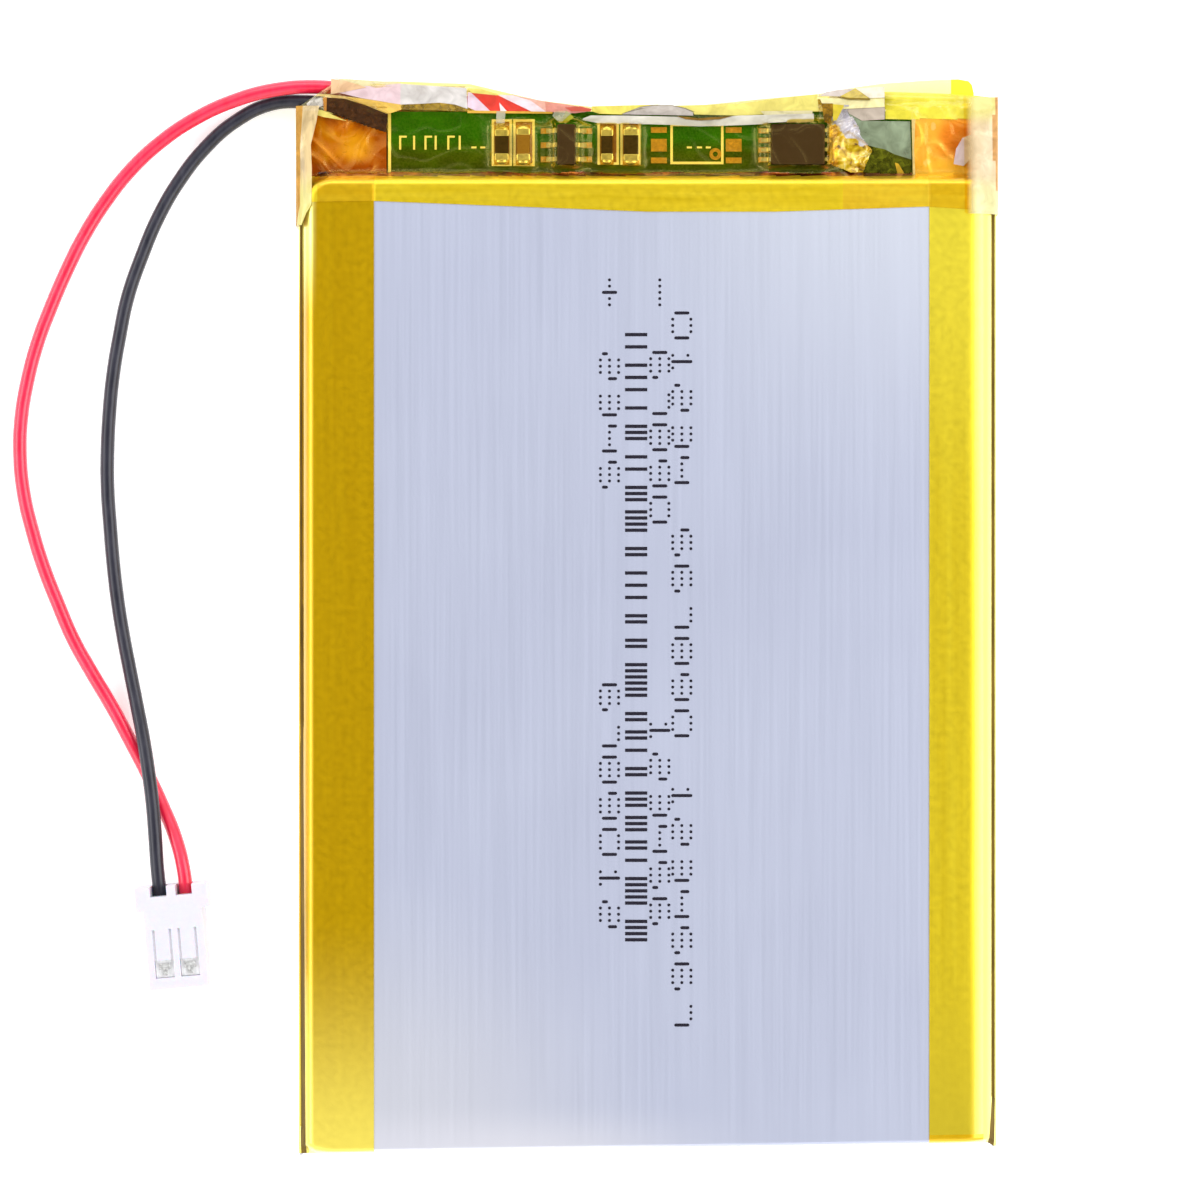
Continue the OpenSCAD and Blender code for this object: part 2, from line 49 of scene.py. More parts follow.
def box_mm(node):
    """Lowest and highest corner of a CAD node, in millimetres."""
    low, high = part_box(node)
    return low / MM, high / MM


# ---- Sizes taken from the CAD frame, in millimetres ----

cup_low, cup_high = box_mm("pouch_cup")
tape_low, tape_high = box_mm("side_tape_right")
left_tape_high = box_mm("side_tape_left")[1]
board_low, board_high = box_mm("circuit_board")
wrap_low = box_mm("top_wrap_tape")[0]

SIDE_X = tape_high.x
TAPE_IN_LEFT = -left_tape_high.x
TAPE_IN_RIGHT = tape_low.x
TAPE_T = tape_high.z - cup_high.z
CUP_X = cup_high.x - 0.1
CUP_Y0 = cup_low.y
CUP_Y1 = board_low.y - 0.3
FACE_Z = cup_high.z
COVER_Z = cup_low.z
TERRACE_Y1 = cup_high.y
SEAL_Z = box_mm("side_seal_right")[1].z
BOARD_Z = board_high.z
WRAP_Y0 = wrap_low.y
BOARD_MID_X = 0.2

# The cup's rounded edge: how far it reaches in on each side, how far it drops, and its corners in plan
EDGE_LEFT = 0.9
EDGE_RIGHT = 1.95
EDGE_TOP = 0.7
EDGE_BOTTOM = 0.35
EDGE_H = 1.4
CORNER_R = 2.4
ROUNDNESS = 2.0

# Tape: how far the side strips go onto the back, the end tape's turn, its gap over the board, and the
# height of the crumpled layers at the board's ends
SIDE_BACK_W = 4.5
ROLL_R = 0.6
FILM_GAP = 0.07
FOLD_Z = 3.05

# The plug: the middle of its wire end, its turn on the table, and the distance from the middle to a contact
PLUG_X = -37.55
PLUG_Y = -21.2
PLUG_TURN = math.radians(5)
CONTACT_X = 1.0

# Edge of the end tape in plan: x and the distance beyond the cup's end
CAP_EDGE = (
    (-27.5, 6), (-25, 7.7), (-19.5, 7.7), (-14, 7.5), (-11.5, 6.9), (-8.5, 6.2),
    (-4.5, 5.7), (4, 5.8), (9, 6.3), (13.5, 6.7), (18.5, 6.9), (25, 6.7), (27.5, 6.4),
)
TAIL_EDGE = (
    (13.6, 6.75), (16, 7.2), (18.5, 7.55), (22, 7.8), (24.6, 7.9), (25.4, 7.75), (25.8, 7.3), (25.8, 6.8),
)

# The wires' centre lines, from inside the plug to the soldered ends under the board
RED_ROUTE = (
    (-36.4, -22.6, 2.2), (-36.7, -20, 2.1), (-37.4, -17.5, 1.5), (-38.5, -15, 0.8),
    (-39.65, -12.6, 0.6), (-41, -10, 0.6), (-42.5, -7.2, 0.6), (-44.1, -4.5, 0.6),
    (-45.6, -1.8, 0.6), (-46.8, 1, 0.6), (-47.9, 3.8, 0.6), (-48.8, 6.7, 0.6),
    (-49.5, 9.7, 0.6), (-49.8, 12.7, 0.6), (-49.7, 15.7, 0.6), (-49.2, 18.7, 0.6),
    (-48.4, 21.7, 0.6), (-47.35, 24.5, 0.6), (-46.1, 27.4, 0.6), (-44.7, 30.2, 0.6),
    (-43, 32.9, 0.6), (-41, 35.4, 0.7), (-38.6, 37.6, 0.9), (-35.9, 39.4, 1.1),
    (-32.8, 40.8, 1.4), (-29.6, 41.65, 1.6), (-26.4, 41.9, 1.6), (-23, 41.6, 1.5),
    (-19.5, 41.2, 1.5), (-16, 40.8, 1.5), (-12.5, 40.5, 1.5), (-9, 40.1, 1.5),
    (-6.2, 39.7, 1.5), (-4.4, 39.2, 1.5),
)
BLACK_ROUTE = (
    (-38.45, -22.7, 2.2), (-38.75, -20, 2.2), (-38.93, -17.4, 2.2), (-39.15, -14.8, 2.1),
    (-39.5, -12.2, 1.9), (-39.95, -9.6, 1.5), (-40.5, -7, 1), (-41.05, -4.4, 0.7),
    (-41.6, -1.6, 0.6), (-42.05, 1.2, 0.6), (-42.4, 4.2, 0.6), (-42.65, 7.2, 0.6),
    (-42.85, 10.2, 0.6), (-42.85, 13.2, 0.6), (-42.7, 16.2, 0.6), (-42.4, 19.2, 0.6),
    (-41.9, 22.2, 0.6), (-41.25, 25.3, 0.6), (-40.15, 28.5, 0.6), (-38.8, 31.7, 0.6),
    (-37.15, 34.55, 0.6), (-35.1, 37.15, 0.65), (-32.7, 39.25, 0.7), (-29.9, 40.6, 0.85),
    (-27.2, 40.78, 1), (-25.2, 40.5, 1.35), (-23, 39.7, 1.5), (-20.8, 38.7, 1.5),
)
WIRE_D = 1.1


# ---- Materials ----

# Noise mostly lies between these two values
NOISE_LOW = 0.3
NOISE_HIGH = 0.7


class Nodes:
    """A short way to build one material's node tree."""

    def __init__(self, name):
        self.material = bpy.data.materials.new(name)
        self.material.use_nodes = True
        self.tree = self.material.node_tree
        self.shader = self.tree.nodes["Principled BSDF"]
        self.output = self.tree.nodes["Material Output"]

    def add(self, kind, **inputs):
        node = self.tree.nodes.new(kind)
        for key, value in inputs.items():
            self.put(node.inputs[key.replace("_", " ")], value)
        return node

    def put(self, socket, value):
        if isinstance(value, bpy.types.NodeSocket):
            self.tree.links.new(value, socket)
        else:
            socket.default_value = value

    def place(self, stretch):
        """Object coordinates, stretched."""
        spot = self.add("ShaderNodeTexCoord")
        mapping = self.add("ShaderNodeMapping", Vector=spot.outputs["Object"], Scale=stretch)
        return mapping.outputs["Vector"]

    def noise(self, size_mm, stretch=(1, 1, 1), detail=4.0, distortion=0.0):
        """Noise whose features are about size_mm across before it is stretched."""
        node = self.add(
            "ShaderNodeTexNoise", Vector=self.place(stretch), Scale=1 / (size_mm * MM), Detail=detail,
            Roughness=0.55, Distortion=distortion,
        )
        return node.outputs["Fac"]

    def ramp(self, factor, stops):
        node = self.add("ShaderNodeValToRGB", Fac=factor)
        elements = node.color_ramp.elements
        while len(elements) < len(stops):
            elements.new(0.5)
        for element, (position, colour) in zip(elements, stops):
            element.position = position
            element.color = (*colour, 1)
        return node.outputs["Color"]

    def ranged(self, value, low, high, to_low=0.0, to_high=1.0, smooth=False):
        """Turns numbers from low to high into numbers from to_low to to_high."""
        node = self.add(
            "ShaderNodeMapRange", Value=value, From_Min=low, From_Max=high, To_Min=to_low, To_Max=to_high,
        )
        if smooth:
            node.interpolation_type = "SMOOTHSTEP"
        return node.outputs["Result"]

    def spread(self, factor, low, high):
        """Maps noise to a range of numbers."""
        return self.ranged(factor, NOISE_LOW, NOISE_HIGH, low, high)

    def along(self, axis, start_mm, end_mm):
        """From 0 to 1 between two places along an axis of the pack."""
        spot = self.add("ShaderNodeTexCoord")
        parts = self.add("ShaderNodeSeparateXYZ", Vector=spot.outputs["Object"])
        return self.ranged(parts.outputs[axis], start_mm * MM, end_mm * MM, smooth=True)

    def math(self, operation, first, second):
        node = self.add("ShaderNodeMath")
        node.operation = operation
        node.use_clamp = True
        self.put(node.inputs[0], first)
        self.put(node.inputs[1], second)
        return node.outputs[0]

    def blob(self, middle_mm, inner_mm, outer_mm):
        """From 1 near a place to 0 away from it, the same all the way through."""
        spot = self.add("ShaderNodeTexCoord")
        flat = self.add("ShaderNodeMapping", Vector=spot.outputs["Object"], Scale=(1, 1, 0))
        away = self.add("ShaderNodeVectorMath")
        away.operation = "DISTANCE"
        self.put(away.inputs[0], flat.outputs["Vector"])
        self.put(away.inputs[1], (middle_mm[0] * MM, middle_mm[1] * MM, 0))
        return self.ranged(away.outputs["Value"], outer_mm * MM, inner_mm * MM, smooth=True)

    def mix(self, factor, first, second, blend="MIX"):
        """Mixes two colours. Inputs 0, 6 and 7 and output 2 are the node's own sockets for colours."""
        node = self.add("ShaderNodeMix")
        node.data_type = "RGBA"
        node.blend_type = blend
        for index, value in ((0, factor), (6, first), (7, second)):
            if isinstance(value, tuple):
                value = (*value, 1)
            self.put(node.inputs[index], value)
        return node.outputs[2]

    def bump(self, height, depth_mm, normal=None):
        node = self.add("ShaderNodeBump", Height=height, Distance=depth_mm * MM, Strength=1.0)
        if normal is not None:
            self.put(node.inputs["Normal"], normal)
        return node.outputs["Normal"]

    def blend_with(self, clear, share):
        """Shows share of the shader and lets the rest through."""
        blend = self.add("ShaderNodeMixShader", Fac=share)
        self.put(blend.inputs[1], clear.outputs[0])
        self.put(blend.inputs[2], self.shader.outputs[0])
        self.put(self.output.inputs["Surface"], blend.outputs[0])

    def shine(self, **inputs):
        for key, value in inputs.items():
            self.put(self.shader.inputs[key.replace("_", " ")], value)


def shade(colour, share):
    """The colour made darker or lighter."""
    return tuple(min(1.0, c * share) for c in colour)


def two_tones(n, pattern, colour, vary):
    """The colour a little darker and a little lighter along a pattern."""
    return n.ramp(pattern, ((NOISE_LOW, shade(colour, 1 - vary)), (NOISE_HIGH, shade(colour, 1 + vary))))


def speckled(
    name, colour, roughness, size_mm, vary, metallic=0.0, stretch=(1, 1, 1), depth_mm=0.004, **rest,
):
    """A surface with fine grain: its colour, roughness and height follow one noise."""
    n = Nodes(name)
    grain = n.noise(size_mm, stretch)
    n.shine(
        Base_Color=two_tones(n, grain, colour, vary),
        Roughness=n.spread(grain, roughness * 0.85, roughness * 1.15),
        Metallic=metallic,
        Normal=n.bump(grain, depth_mm),
        **rest,
    )
    return n.material


def laminate_material():
    """Satin aluminium laminate with faint lines along the cell, and painted light: a little paler towards two
    of its corners and along the left of its lower end, and a little darker on its right.
    """
    n = Nodes("silver_laminate")
    lines = n.noise(0.25, (1, 0.012, 1))
    clouds = n.noise(16, detail=2.0)
    colour = n.ramp(lines, ((NOISE_LOW, (0.52, 0.55, 0.68)), (NOISE_HIGH, (0.54, 0.57, 0.70))))
    colour = n.mix(1.0, colour, n.ramp(clouds, ((0.35, (0.96, 0.96, 0.97)), (0.65, (1, 1, 1)))), "MULTIPLY")
    # Painted shade: a little darker towards the right
    colour = n.mix(n.along("X", 20, -22), n.mix(1.0, colour, (0.95, 0.95, 0.95), "MULTIPLY"), colour)
    # Painted light: paler towards two corners
    colour = n.mix(n.blob((22, 40), 4, 34), colour, (0.61, 0.64, 0.73))
    colour = n.mix(n.blob((-22, -44), 4, 26), colour, (0.62, 0.63, 0.70))
    # Painted highlight along the left of the lower end
    painted_end_highlight = n.math("MULTIPLY", n.along("Y", -38, -42), n.along("X", 12, -14))
    colour = n.mix(painted_end_highlight, colour, (0.70, 0.70, 0.77))
    n.shine(
        Base_Color=colour,
        Metallic=0.92,
        Roughness=n.spread(lines, 0.49, 0.52),
        Normal=n.bump(lines, 0.0008, n.bump(n.noise(0.12), 0.0008)),
    )
    return n.material


def gold_tape_material(
    name, dark, light, pale=None, edge=None, corner=None, upper=None, stretch=(1, 0.02, 1), wrinkle=0.002,
):
    """Clear amber tape stuck flat on silver laminate, seen as one shiny golden surface with faint streaks.
    pale is the colour it turns to towards the lower end and upper the one towards the board end, both painted
    light. edge says where it turns pale along X, and corner where it does so at the board end only, both
    painted highlights."""
    n = Nodes(name)
    streaks = n.noise(0.6, stretch, detail=3.0)
    specks = n.noise(0.5, detail=3.0)
    colour = n.ramp(streaks, ((NOISE_LOW, dark), (NOISE_HIGH, light)))
    metallic = 0.95
    # Painted light and shade: towards the lower end the tape turns to the colour pale
    if pale:
        lower = n.along("Y", -23, -45)
        colour = n.mix(lower, colour, pale)
        metallic = n.ranged(lower, 0.0, 1.0, 0.95, 0.6)
    # Painted light: paler towards the board end
    if upper:
        colour = n.mix(n.along("Y", 4, 30), colour, upper)
    # Painted highlight along the tape's outer edge
    if edge:
        colour = n.mix(n.along("X", *edge), colour, (1.0, 0.90, 0.20))
    # Painted highlight on the outer edge near the board end
    if corner:
        at_corner = n.math("MULTIPLY", n.along("X", *corner), n.along("Y", 23, 31))
        colour = n.mix(at_corner, colour, (1.0, 0.93, 0.26))
    n.shine(
        Base_Color=colour,
        Metallic=metallic,
        Roughness=n.spread(specks, 0.40, 0.46),
        Coat_Weight=0.9,
        Coat_Roughness=0.08,
        Coat_IOR=1.45,
        Normal=n.bump(streaks, 0.003, n.bump(specks, wrinkle)),
    )
    return n.material


# What a Fresnel node gives for a clear film seen square on
SQUARE_ON = 0.03


def film_material(name, tint, least, most=0.30, gloss=(1.0, 0.95, 0.82), patchy=None, roughness=0.07):
    """Clear tinted film. tint is what one of its two faces lets through, and least and most are the shares of
    a face that shine, square on and edge on. patchy is the share where the film stands off in patches."""
    n = Nodes(name)
    ripple = n.noise(0.8, detail=2.0, distortion=0.6)
    n.shine(Base_Color=(*gloss, 1), Metallic=1.0, Roughness=roughness, Normal=n.bump(ripple, 0.012))
    clear = n.add("ShaderNodeBsdfTransparent")
    n.put(clear.inputs["Color"], n.ramp(ripple, ((NOISE_LOW, tint), (NOISE_HIGH, shade(tint, 1.02)))))
    edge_on = n.add("ShaderNodeFresnel", IOR=1.45)
    share = n.ranged(edge_on.outputs["Fac"], SQUARE_ON, 1.0, least, most)
    if patchy:
        patches = n.spread(n.noise(2.6, (0.5, 1, 1), detail=2.0, distortion=0.8), 0.0, patchy)
        share = n.math("ADD", share, patches)
    n.blend_with(clear, share)
    return n.material


def veil_material(
    name, colour, solid, size_mm=1.2, vary=0.06, coat=0.5, specular=0.4, stretch=(1, 1, 1), depth_mm=0.012,
    fade=None, lower=None, upper=None,
):
    """Milky crumpled film: solid is the share of it that isn't clear. fade says where it comes in along X,
    lower is the colour it turns to beside the pouch, and upper the one it turns to at its far end."""
    n = Nodes(name)
    fold = n.noise(size_mm, stretch, detail=3.0, distortion=0.9)
    tone = two_tones(n, fold, colour, vary)
    if lower:
        tone = n.mix(n.along("Y", CUP_Y1 + 0.6, CUP_Y1 - 1.8), tone, lower)
    if upper:
        tone = n.mix(n.along("Y", CUP_Y1 + 3.8, CUP_Y1 + 5.4), tone, upper)
    n.shine(
        Base_Color=tone,
        Roughness=0.25,
        Specular_IOR_Level=specular,
        Coat_Weight=coat,
        Coat_Roughness=0.05,
        Normal=n.bump(fold, depth_mm),
    )
    clear = n.add("ShaderNodeBsdfTransparent")
    clear.inputs["Color"].default_value = (0.99, 0.93, 0.72, 1)
    share = n.spread(fold, solid * 0.75, min(1.0, solid * 1.25))
    if fade:
        share = n.math("MULTIPLY", share, n.along("X", *fade))
    n.blend_with(clear, share)
    return n.material


def fold_material(name, stops, size_mm, roughness=0.3, metallic=0.8, blobs=(), lower=None):
    """Several layers of amber tape, crumpled: colours swirl from dark to light. blobs are soft patches, each
    with its middle, its inner and outer size, and its colour. lower is the colour beside the pouch."""
    n = Nodes(name)
    swirl = n.noise(size_mm, detail=2.5, distortion=1.2)
    fine = n.noise(0.4, detail=2.0, distortion=0.5)
    tone = n.ramp(swirl, stops)
    for middle, inner, outer, colour in blobs:
        patch = n.math("MULTIPLY", n.blob(middle, inner, outer), n.spread(swirl, 0.7, 1.0))
        tone = n.mix(patch, tone, colour)
    if lower:
        tone = n.mix(n.along("Y", CUP_Y1 + 1.9, CUP_Y1 + 0.7), tone, lower)
    n.shine(
        Base_Color=tone,
        Metallic=metallic,
        Roughness=n.spread(fine, roughness * 0.85, roughness * 1.2),
        Coat_Weight=1.0,
        Coat_Roughness=0.04,
        Normal=n.bump(swirl, 0.03, n.bump(fine, 0.004)),
    )
    return n.material


def board_material():
    """Glossy green solder mask, a little lighter over hidden copper."""
    n = Nodes("green_board")
    copper = n.add("ShaderNodeTexVoronoi", Vector=n.place((1, 2.2, 1)), Scale=600.0)
    copper.distance = "CHEBYCHEV"
    weave = n.noise(0.18, detail=2.0)
    upper = n.ramp(copper.outputs["Distance"], ((0.25, (0.020, 0.130, 0.003)), (0.6, (0.030, 0.175, 0.005))))
    lower = n.ramp(copper.outputs["Distance"], ((0.25, (0.045, 0.085, 0.003)), (0.6, (0.060, 0.120, 0.004))))
    n.shine(
        Base_Color=n.mix(n.along("Y", 37.9, 36.2), upper, lower),
        Roughness=n.spread(weave, 0.22, 0.34),
        Specular_IOR_Level=0.4,
        Normal=n.bump(weave, 0.006),
    )
    return n.material


def wire_material(name, colour, light, gloss=0.5):
    """Soft smooth insulation, with its colour a little uneven."""
    n = Nodes(name)
    skin = n.noise(0.5, (1, 0.25, 1), detail=5.0)
    n.shine(
        Base_Color=n.ramp(skin, ((0.3, colour), (0.75, light))),
        Roughness=n.spread(skin, 0.28, 0.38),
        Specular_IOR_Level=gloss,
        Coat_Weight=gloss,
        Coat_Roughness=0.15,
        Normal=n.bump(skin, 0.012),
    )
    return n.material


LAMINATE = laminate_material()
# Painted light: the left tape turns paler towards its lower end, with a painted highlight on its outer edge
# at the board end
GOLD_LEFT = gold_tape_material(
    "amber_tape_left", (0.62, 0.37, 0.001), (0.68, 0.42, 0.002), (0.92, 0.76, 0.11), corner=(-25.9, -26.6),
)
# Painted light: the same tape as the left, painted paler as it is lit more from the right, darker towards its
# lower end, paler towards the board end, with a painted highlight along its outer edge
GOLD_RIGHT = gold_tape_material(
    "amber_tape_right", (0.77, 0.57, 0.016), (0.85, 0.66, 0.027), (0.56, 0.43, 0.014), edge=(25.6, 26.8),
    upper=(0.92, 0.76, 0.05),
)
ALONG_X = (0.06, 1, 1)
GOLD_TOP = gold_tape_material("amber_tape_top", (0.84, 0.60, 0.012), (0.96, 0.72, 0.03), stretch=ALONG_X)
GOLD_DOUBLE = gold_tape_material(
    "amber_tape_double", (0.76, 0.44, 0.004), (0.86, 0.55, 0.015), stretch=ALONG_X,
)
GOLD_WARM = gold_tape_material(
    "amber_tape_warm", (0.86, 0.53, 0.018), (0.98, 0.68, 0.035), stretch=ALONG_X, wrinkle=0.006,
)
FILM = film_material("amber_film", (0.985, 0.91, 0.58), 0.018, gloss=(1.0, 0.90, 0.50))
# Painted shade: a dark band of film in the valley between the cup's end and the board
VALLEY_SHADE = fold_material(
    "amber_film_painted_valley_shade",
    ((0.35, (0.05, 0.006, 0.0)), (0.5, (0.22, 0.03, 0.002)), (0.7, (0.55, 0.16, 0.02))),
    size_mm=2.5,
)
EDGE_FILM = film_material(
    "amber_film_edge", (0.985, 0.93, 0.66), 0.07, 0.45, (1.0, 0.94, 0.66), patchy=0.10, roughness=0.3,
)
TAIL_FILM = film_material("amber_film_tail", (1.0, 0.915, 0.22), 0.06, 0.30, (1.0, 0.90, 0.3), roughness=0.2)
TAIL_PALE = film_material(
    "amber_film_tail_pale", (1.0, 0.982, 0.70), 0.06, 0.30, (1.0, 0.98, 0.6), roughness=0.2,
)
BACK_FILM = film_material("amber_film_back", (1.0, 0.98, 0.86), 0.03, 0.2)
TAIL_DOUBLE = veil_material("amber_film_doubled", (0.72, 0.63, 0.05), 1.0, vary=0.02)
# Painted highlight: the cream face of each cheek stands for light caught where the tape rounds the pack's
# side, turning yellow beside the pouch and, on the right, at its far end
CREAM_LEFT = veil_material(
    "film_fold_painted_highlight_left", (0.62, 0.46, 0.22), 0.93, coat=0.4, size_mm=0.7, stretch=(1, 0.22, 1), vary=0.22,
    depth_mm=0.03, lower=(0.68, 0.61, 0.19),
)
CREAM_RIGHT = veil_material(
    "film_fold_painted_highlight_right", (0.68, 0.53, 0.32), 0.95, coat=0.3, fade=(25.0, 26.0), lower=(0.69, 0.65, 0.32),
    upper=(0.68, 0.61, 0.20),
)
RIM_LEFT = veil_material(
    "amber_film_rim_left", (0.50, 0.26, 0.05), 0.95, coat=0.0, specular=0.05, vary=0.15,
)
RIM_RIGHT = veil_material(
    "amber_film_rim_right", (0.56, 0.30, 0.11), 0.95, coat=0.0, specular=0.05, vary=0.15,
)
WHITE_FOLD = veil_material(
    "white_film_fold", (0.54, 0.51, 0.42), 0.88, size_mm=1.4, vary=0.12, stretch=(0.4, 1, 1),
)
# Painted highlight: in the left and right folds the lightest stop of the swirl, and the left folds' lighter
# blob, stand for light on the creases; the left folds' darker blob makes them darker beside the board
ORANGE = fold_material(
    "amber_folds_deep",
    (
        (0.30, (0.40, 0.09, 0.001)), (0.45, (0.58, 0.19, 0.002)), (0.58, (0.66, 0.28, 0.008)),
        (0.70, (0.85, 0.55, 0.08)),
    ),
    size_mm=2.6, metallic=0.15, lower=(0.40, 0.085, 0.001),
    blobs=(((-20.5, 36.8), 0.6, 2.6, (0.38, 0.08, 0.001)), ((-23.0, 37.0), 0.3, 1.9, (0.80, 0.46, 0.05))),
)
ORANGE_PALE = fold_material(
    "amber_folds_pale",
    (
        (0.30, (0.90, 0.46, 0.20)), (0.45, (0.96, 0.58, 0.32)), (0.60, (1.0, 0.68, 0.40)),
        (0.75, (1.0, 0.87, 0.75)),
    ),
    size_mm=2.6, metallic=0.1, lower=(0.98, 0.66, 0.25),
    blobs=(((24.5, 37.7), 0.9, 2.2, (0.80, 0.27, 0.10)),),
)
CRUMPLE = fold_material(
    "amber_crumple",
    (
        (0.32, (0.12, 0.05, 0.002)), (0.42, (0.50, 0.30, 0.004)), (0.58, (0.72, 0.50, 0.015)),
        (0.72, (0.9, 0.82, 0.35)),
    ),
    size_mm=1.0, metallic=0.35, roughness=0.22,
)
CRUMPLE_PALE = fold_material(
    "pale_crumple", ((0.30, (0.30, 0.26, 0.22)), (0.48, (0.48, 0.45, 0.50)), (0.70, (0.66, 0.62, 0.62))),
    size_mm=1.3, metallic=0.3, roughness=0.25,
)
BOARD = board_material()
# Painted shade: the dark line in the groove by each side tape's outer edge
TAPE_LINE = speckled(
    "amber_tape_shaded", (0.15, 0.095, 0.022), 0.7, 0.6, vary=0.35, stretch=(1, 0.2, 1),
    Specular_IOR_Level=0.1,
)
# Partly painted shade: copper darkened round the small parts
WELL = speckled("bare_copper_shade", (0.26, 0.11, 0.015), 0.5, 0.3, vary=0.25)
SILK = speckled("white_print", (0.95, 0.93, 0.88), 0.5, 0.1, vary=0.04)
GOLD = speckled("gold_pads", (0.88, 0.55, 0.18), 0.4, 0.15, metallic=1.0, vary=0.12)
CHIP = speckled("moulded_resin", (0.034, 0.018, 0.060), 0.5, 0.08, vary=0.25, depth_mm=0.008)
TIN = speckled("tinned_metal", (0.88, 0.87, 0.84), 0.38, 0.2, metallic=1.0, vary=0.08, depth_mm=0.008)
NICKEL = speckled("nickel_strip", (0.80, 0.78, 0.74), 0.42, 0.3, metallic=1.0, vary=0.08, stretch=(1, 0.1, 1))
RESISTOR = speckled("glazed_resistor", (0.05, 0.035, 0.03), 0.22, 0.2, vary=0.2)
CERAMIC = speckled("tan_ceramic", (0.26, 0.15, 0.06), 0.45, 0.12, vary=0.15)
INK = speckled(
    "black_ink", (0.014, 0.012, 0.020), 0.6, 0.15, vary=0.5, depth_mm=0.002, Specular_IOR_Level=0.1,
)
CONTACT = speckled(
    "tinned_contact", (0.86, 0.86, 0.85), 0.45, 0.25, metallic=0.25, vary=0.15, stretch=(1, 0.4, 1),
    depth_mm=0.02,
)
# Painted shade: the contacts' tongues are a darker copy of the tin
TIN_SHADE = speckled("tinned_tongue_painted_shade", (0.50, 0.50, 0.49), 0.4, 0.2, metallic=0.3, vary=0.5, depth_mm=0.03)
# Painted light: pale floors near the top of the slits, over what would be deep shade
SLIT = speckled("plastic_in_shade", (0.84, 0.82, 0.84), 0.5, 0.2, vary=0.06)
PLUG = speckled(
    "milky_plastic", (0.61, 0.60, 0.68), 0.38, 0.25, vary=0.02, Subsurface_Weight=0.4,
    Subsurface_Scale=0.0006, Specular_IOR_Level=0.45,
)
RED = wire_material("red_insulation", (0.80, 0.008, 0.045), (0.90, 0.020, 0.075))
BLACK = wire_material("black_insulation", (0.016, 0.016, 0.025), (0.034, 0.033, 0.048), gloss=0.25)
FOAM = speckled("pale_pad", (0.60, 0.58, 0.50), 0.8, 0.2, vary=0.2, depth_mm=0.02)
CATHODE = speckled("cathode_coating", (0.03, 0.03, 0.035), 0.8, 0.1, vary=0.3)
ANODE = speckled("graphite_coating", (0.02, 0.018, 0.018), 0.75, 0.1, vary=0.3)
SEPARATOR = speckled("separator_film", (0.85, 0.85, 0.84), 0.6, 0.1, vary=0.04)
GREEN_TAPE = speckled("green_tape", (0.28, 0.48, 0.20), 0.5, 0.2, vary=0.08)
ALUMINIUM = speckled(
    "aluminium_tab", (0.80, 0.81, 0.82), 0.3, 0.3, metallic=1.0, vary=0.06, stretch=(1, 0.1, 1),
)
SEAL_FILM = speckled("milky_seal_film", (0.85, 0.84, 0.78), 0.5, 0.2, vary=0.05)
FLOOR = speckled(
    "pale_floor", (0.92, 0.92, 0.92), 0.8, 6.0, vary=0.01, depth_mm=0.02,
    Emission_Color=(1, 1, 1, 1), Emission_Strength=0.35,
)


# ---- Pieces ----

def piece(name, points, faces, materials, replaced=(), face_slots=None, smooth=True):
    """A mesh object from points in millimetres, riding on the one body."""
    mesh = bpy.data.meshes.new(name)
    mesh.from_pydata([tuple(c * MM for c in p) for p in points], [], faces)
    for material in materials:
        mesh.materials.append(material)
    mesh.polygons.foreach_set("use_smooth", [smooth] * len(mesh.polygons))
    if face_slots is not None:
        mesh.polygons.foreach_set("material_index", face_slots)
    mesh.update()
    obj = bpy.data.objects.new(name, mesh)
    bpy.context.scene.collection.objects.link(obj)
    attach(obj, "root")
    if replaced:
        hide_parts(*replaced)
    return obj


def grid_faces(rows, columns):
    """Faces of a grid stored row by row."""
    return [
        (i * columns + j, i * columns + j + 1, (i + 1) * columns + j + 1, (i + 1) * columns + j)
        for i in range(rows - 1) for j in range(columns - 1)
    ]


def ring_faces(rings, count, start=0):
    """Faces between closed rings of count points each, stored one after another, and over both ends."""
    faces = []
    for k in range(rings - 1):
        low = start + k * count
        high = low + count
        faces += [(low + i, low + (i + 1) % count, high + (i + 1) % count, high + i) for i in range(count)]
    faces.append([start + (rings - 1) * count + i for i in range(count)])
    faces.append([start + count - 1 - i for i in range(count)])
    return faces


def sheet_piece(
    name, x, y, z, materials, thickness=TAPE_T * 0.8, face_slots=None, replaced=(), keep=None,
):
    """A sheet from equal grids of x, y and z, given a thickness. face_slots says which material each face
    has, and keep which faces stay."""
    rows, columns = x.shape
    faces = grid_faces(rows, columns)
    chosen = [k for k in range(len(faces)) if keep is None or keep[k]]
    if face_slots is not None:
        face_slots = [int(face_slots[k]) for k in chosen]
    points = np.stack([x, y, z], -1).reshape(-1, 3)
    obj = piece(name, points.tolist(), [faces[k] for k in chosen], materials, replaced, face_slots)
    thicken(obj, thickness)
    return obj


def thicken(obj, thickness):
    """Gives a sheet its thickness about its middle, with a crisp edge all round."""
    solid = obj.modifiers.new("thickness", "SOLIDIFY")
    solid.thickness = thickness * MM
    solid.offset = 0.0
    bpy.context.view_layer.update()
    shell = bpy.data.meshes.new_from_object(obj.evaluated_get(bpy.context.evaluated_depsgraph_get()))
    obj.modifiers.clear()
    obj.data = shell
    shell.name = obj.name
    shell.set_sharp_from_angle(angle=math.radians(50))


def edge_width(x):
    """How far the cup's rounded edge reaches in: more on the right than on the left."""
    return np.interp(x, (-CUP_X, CUP_X), (EDGE_LEFT, EDGE_RIGHT))


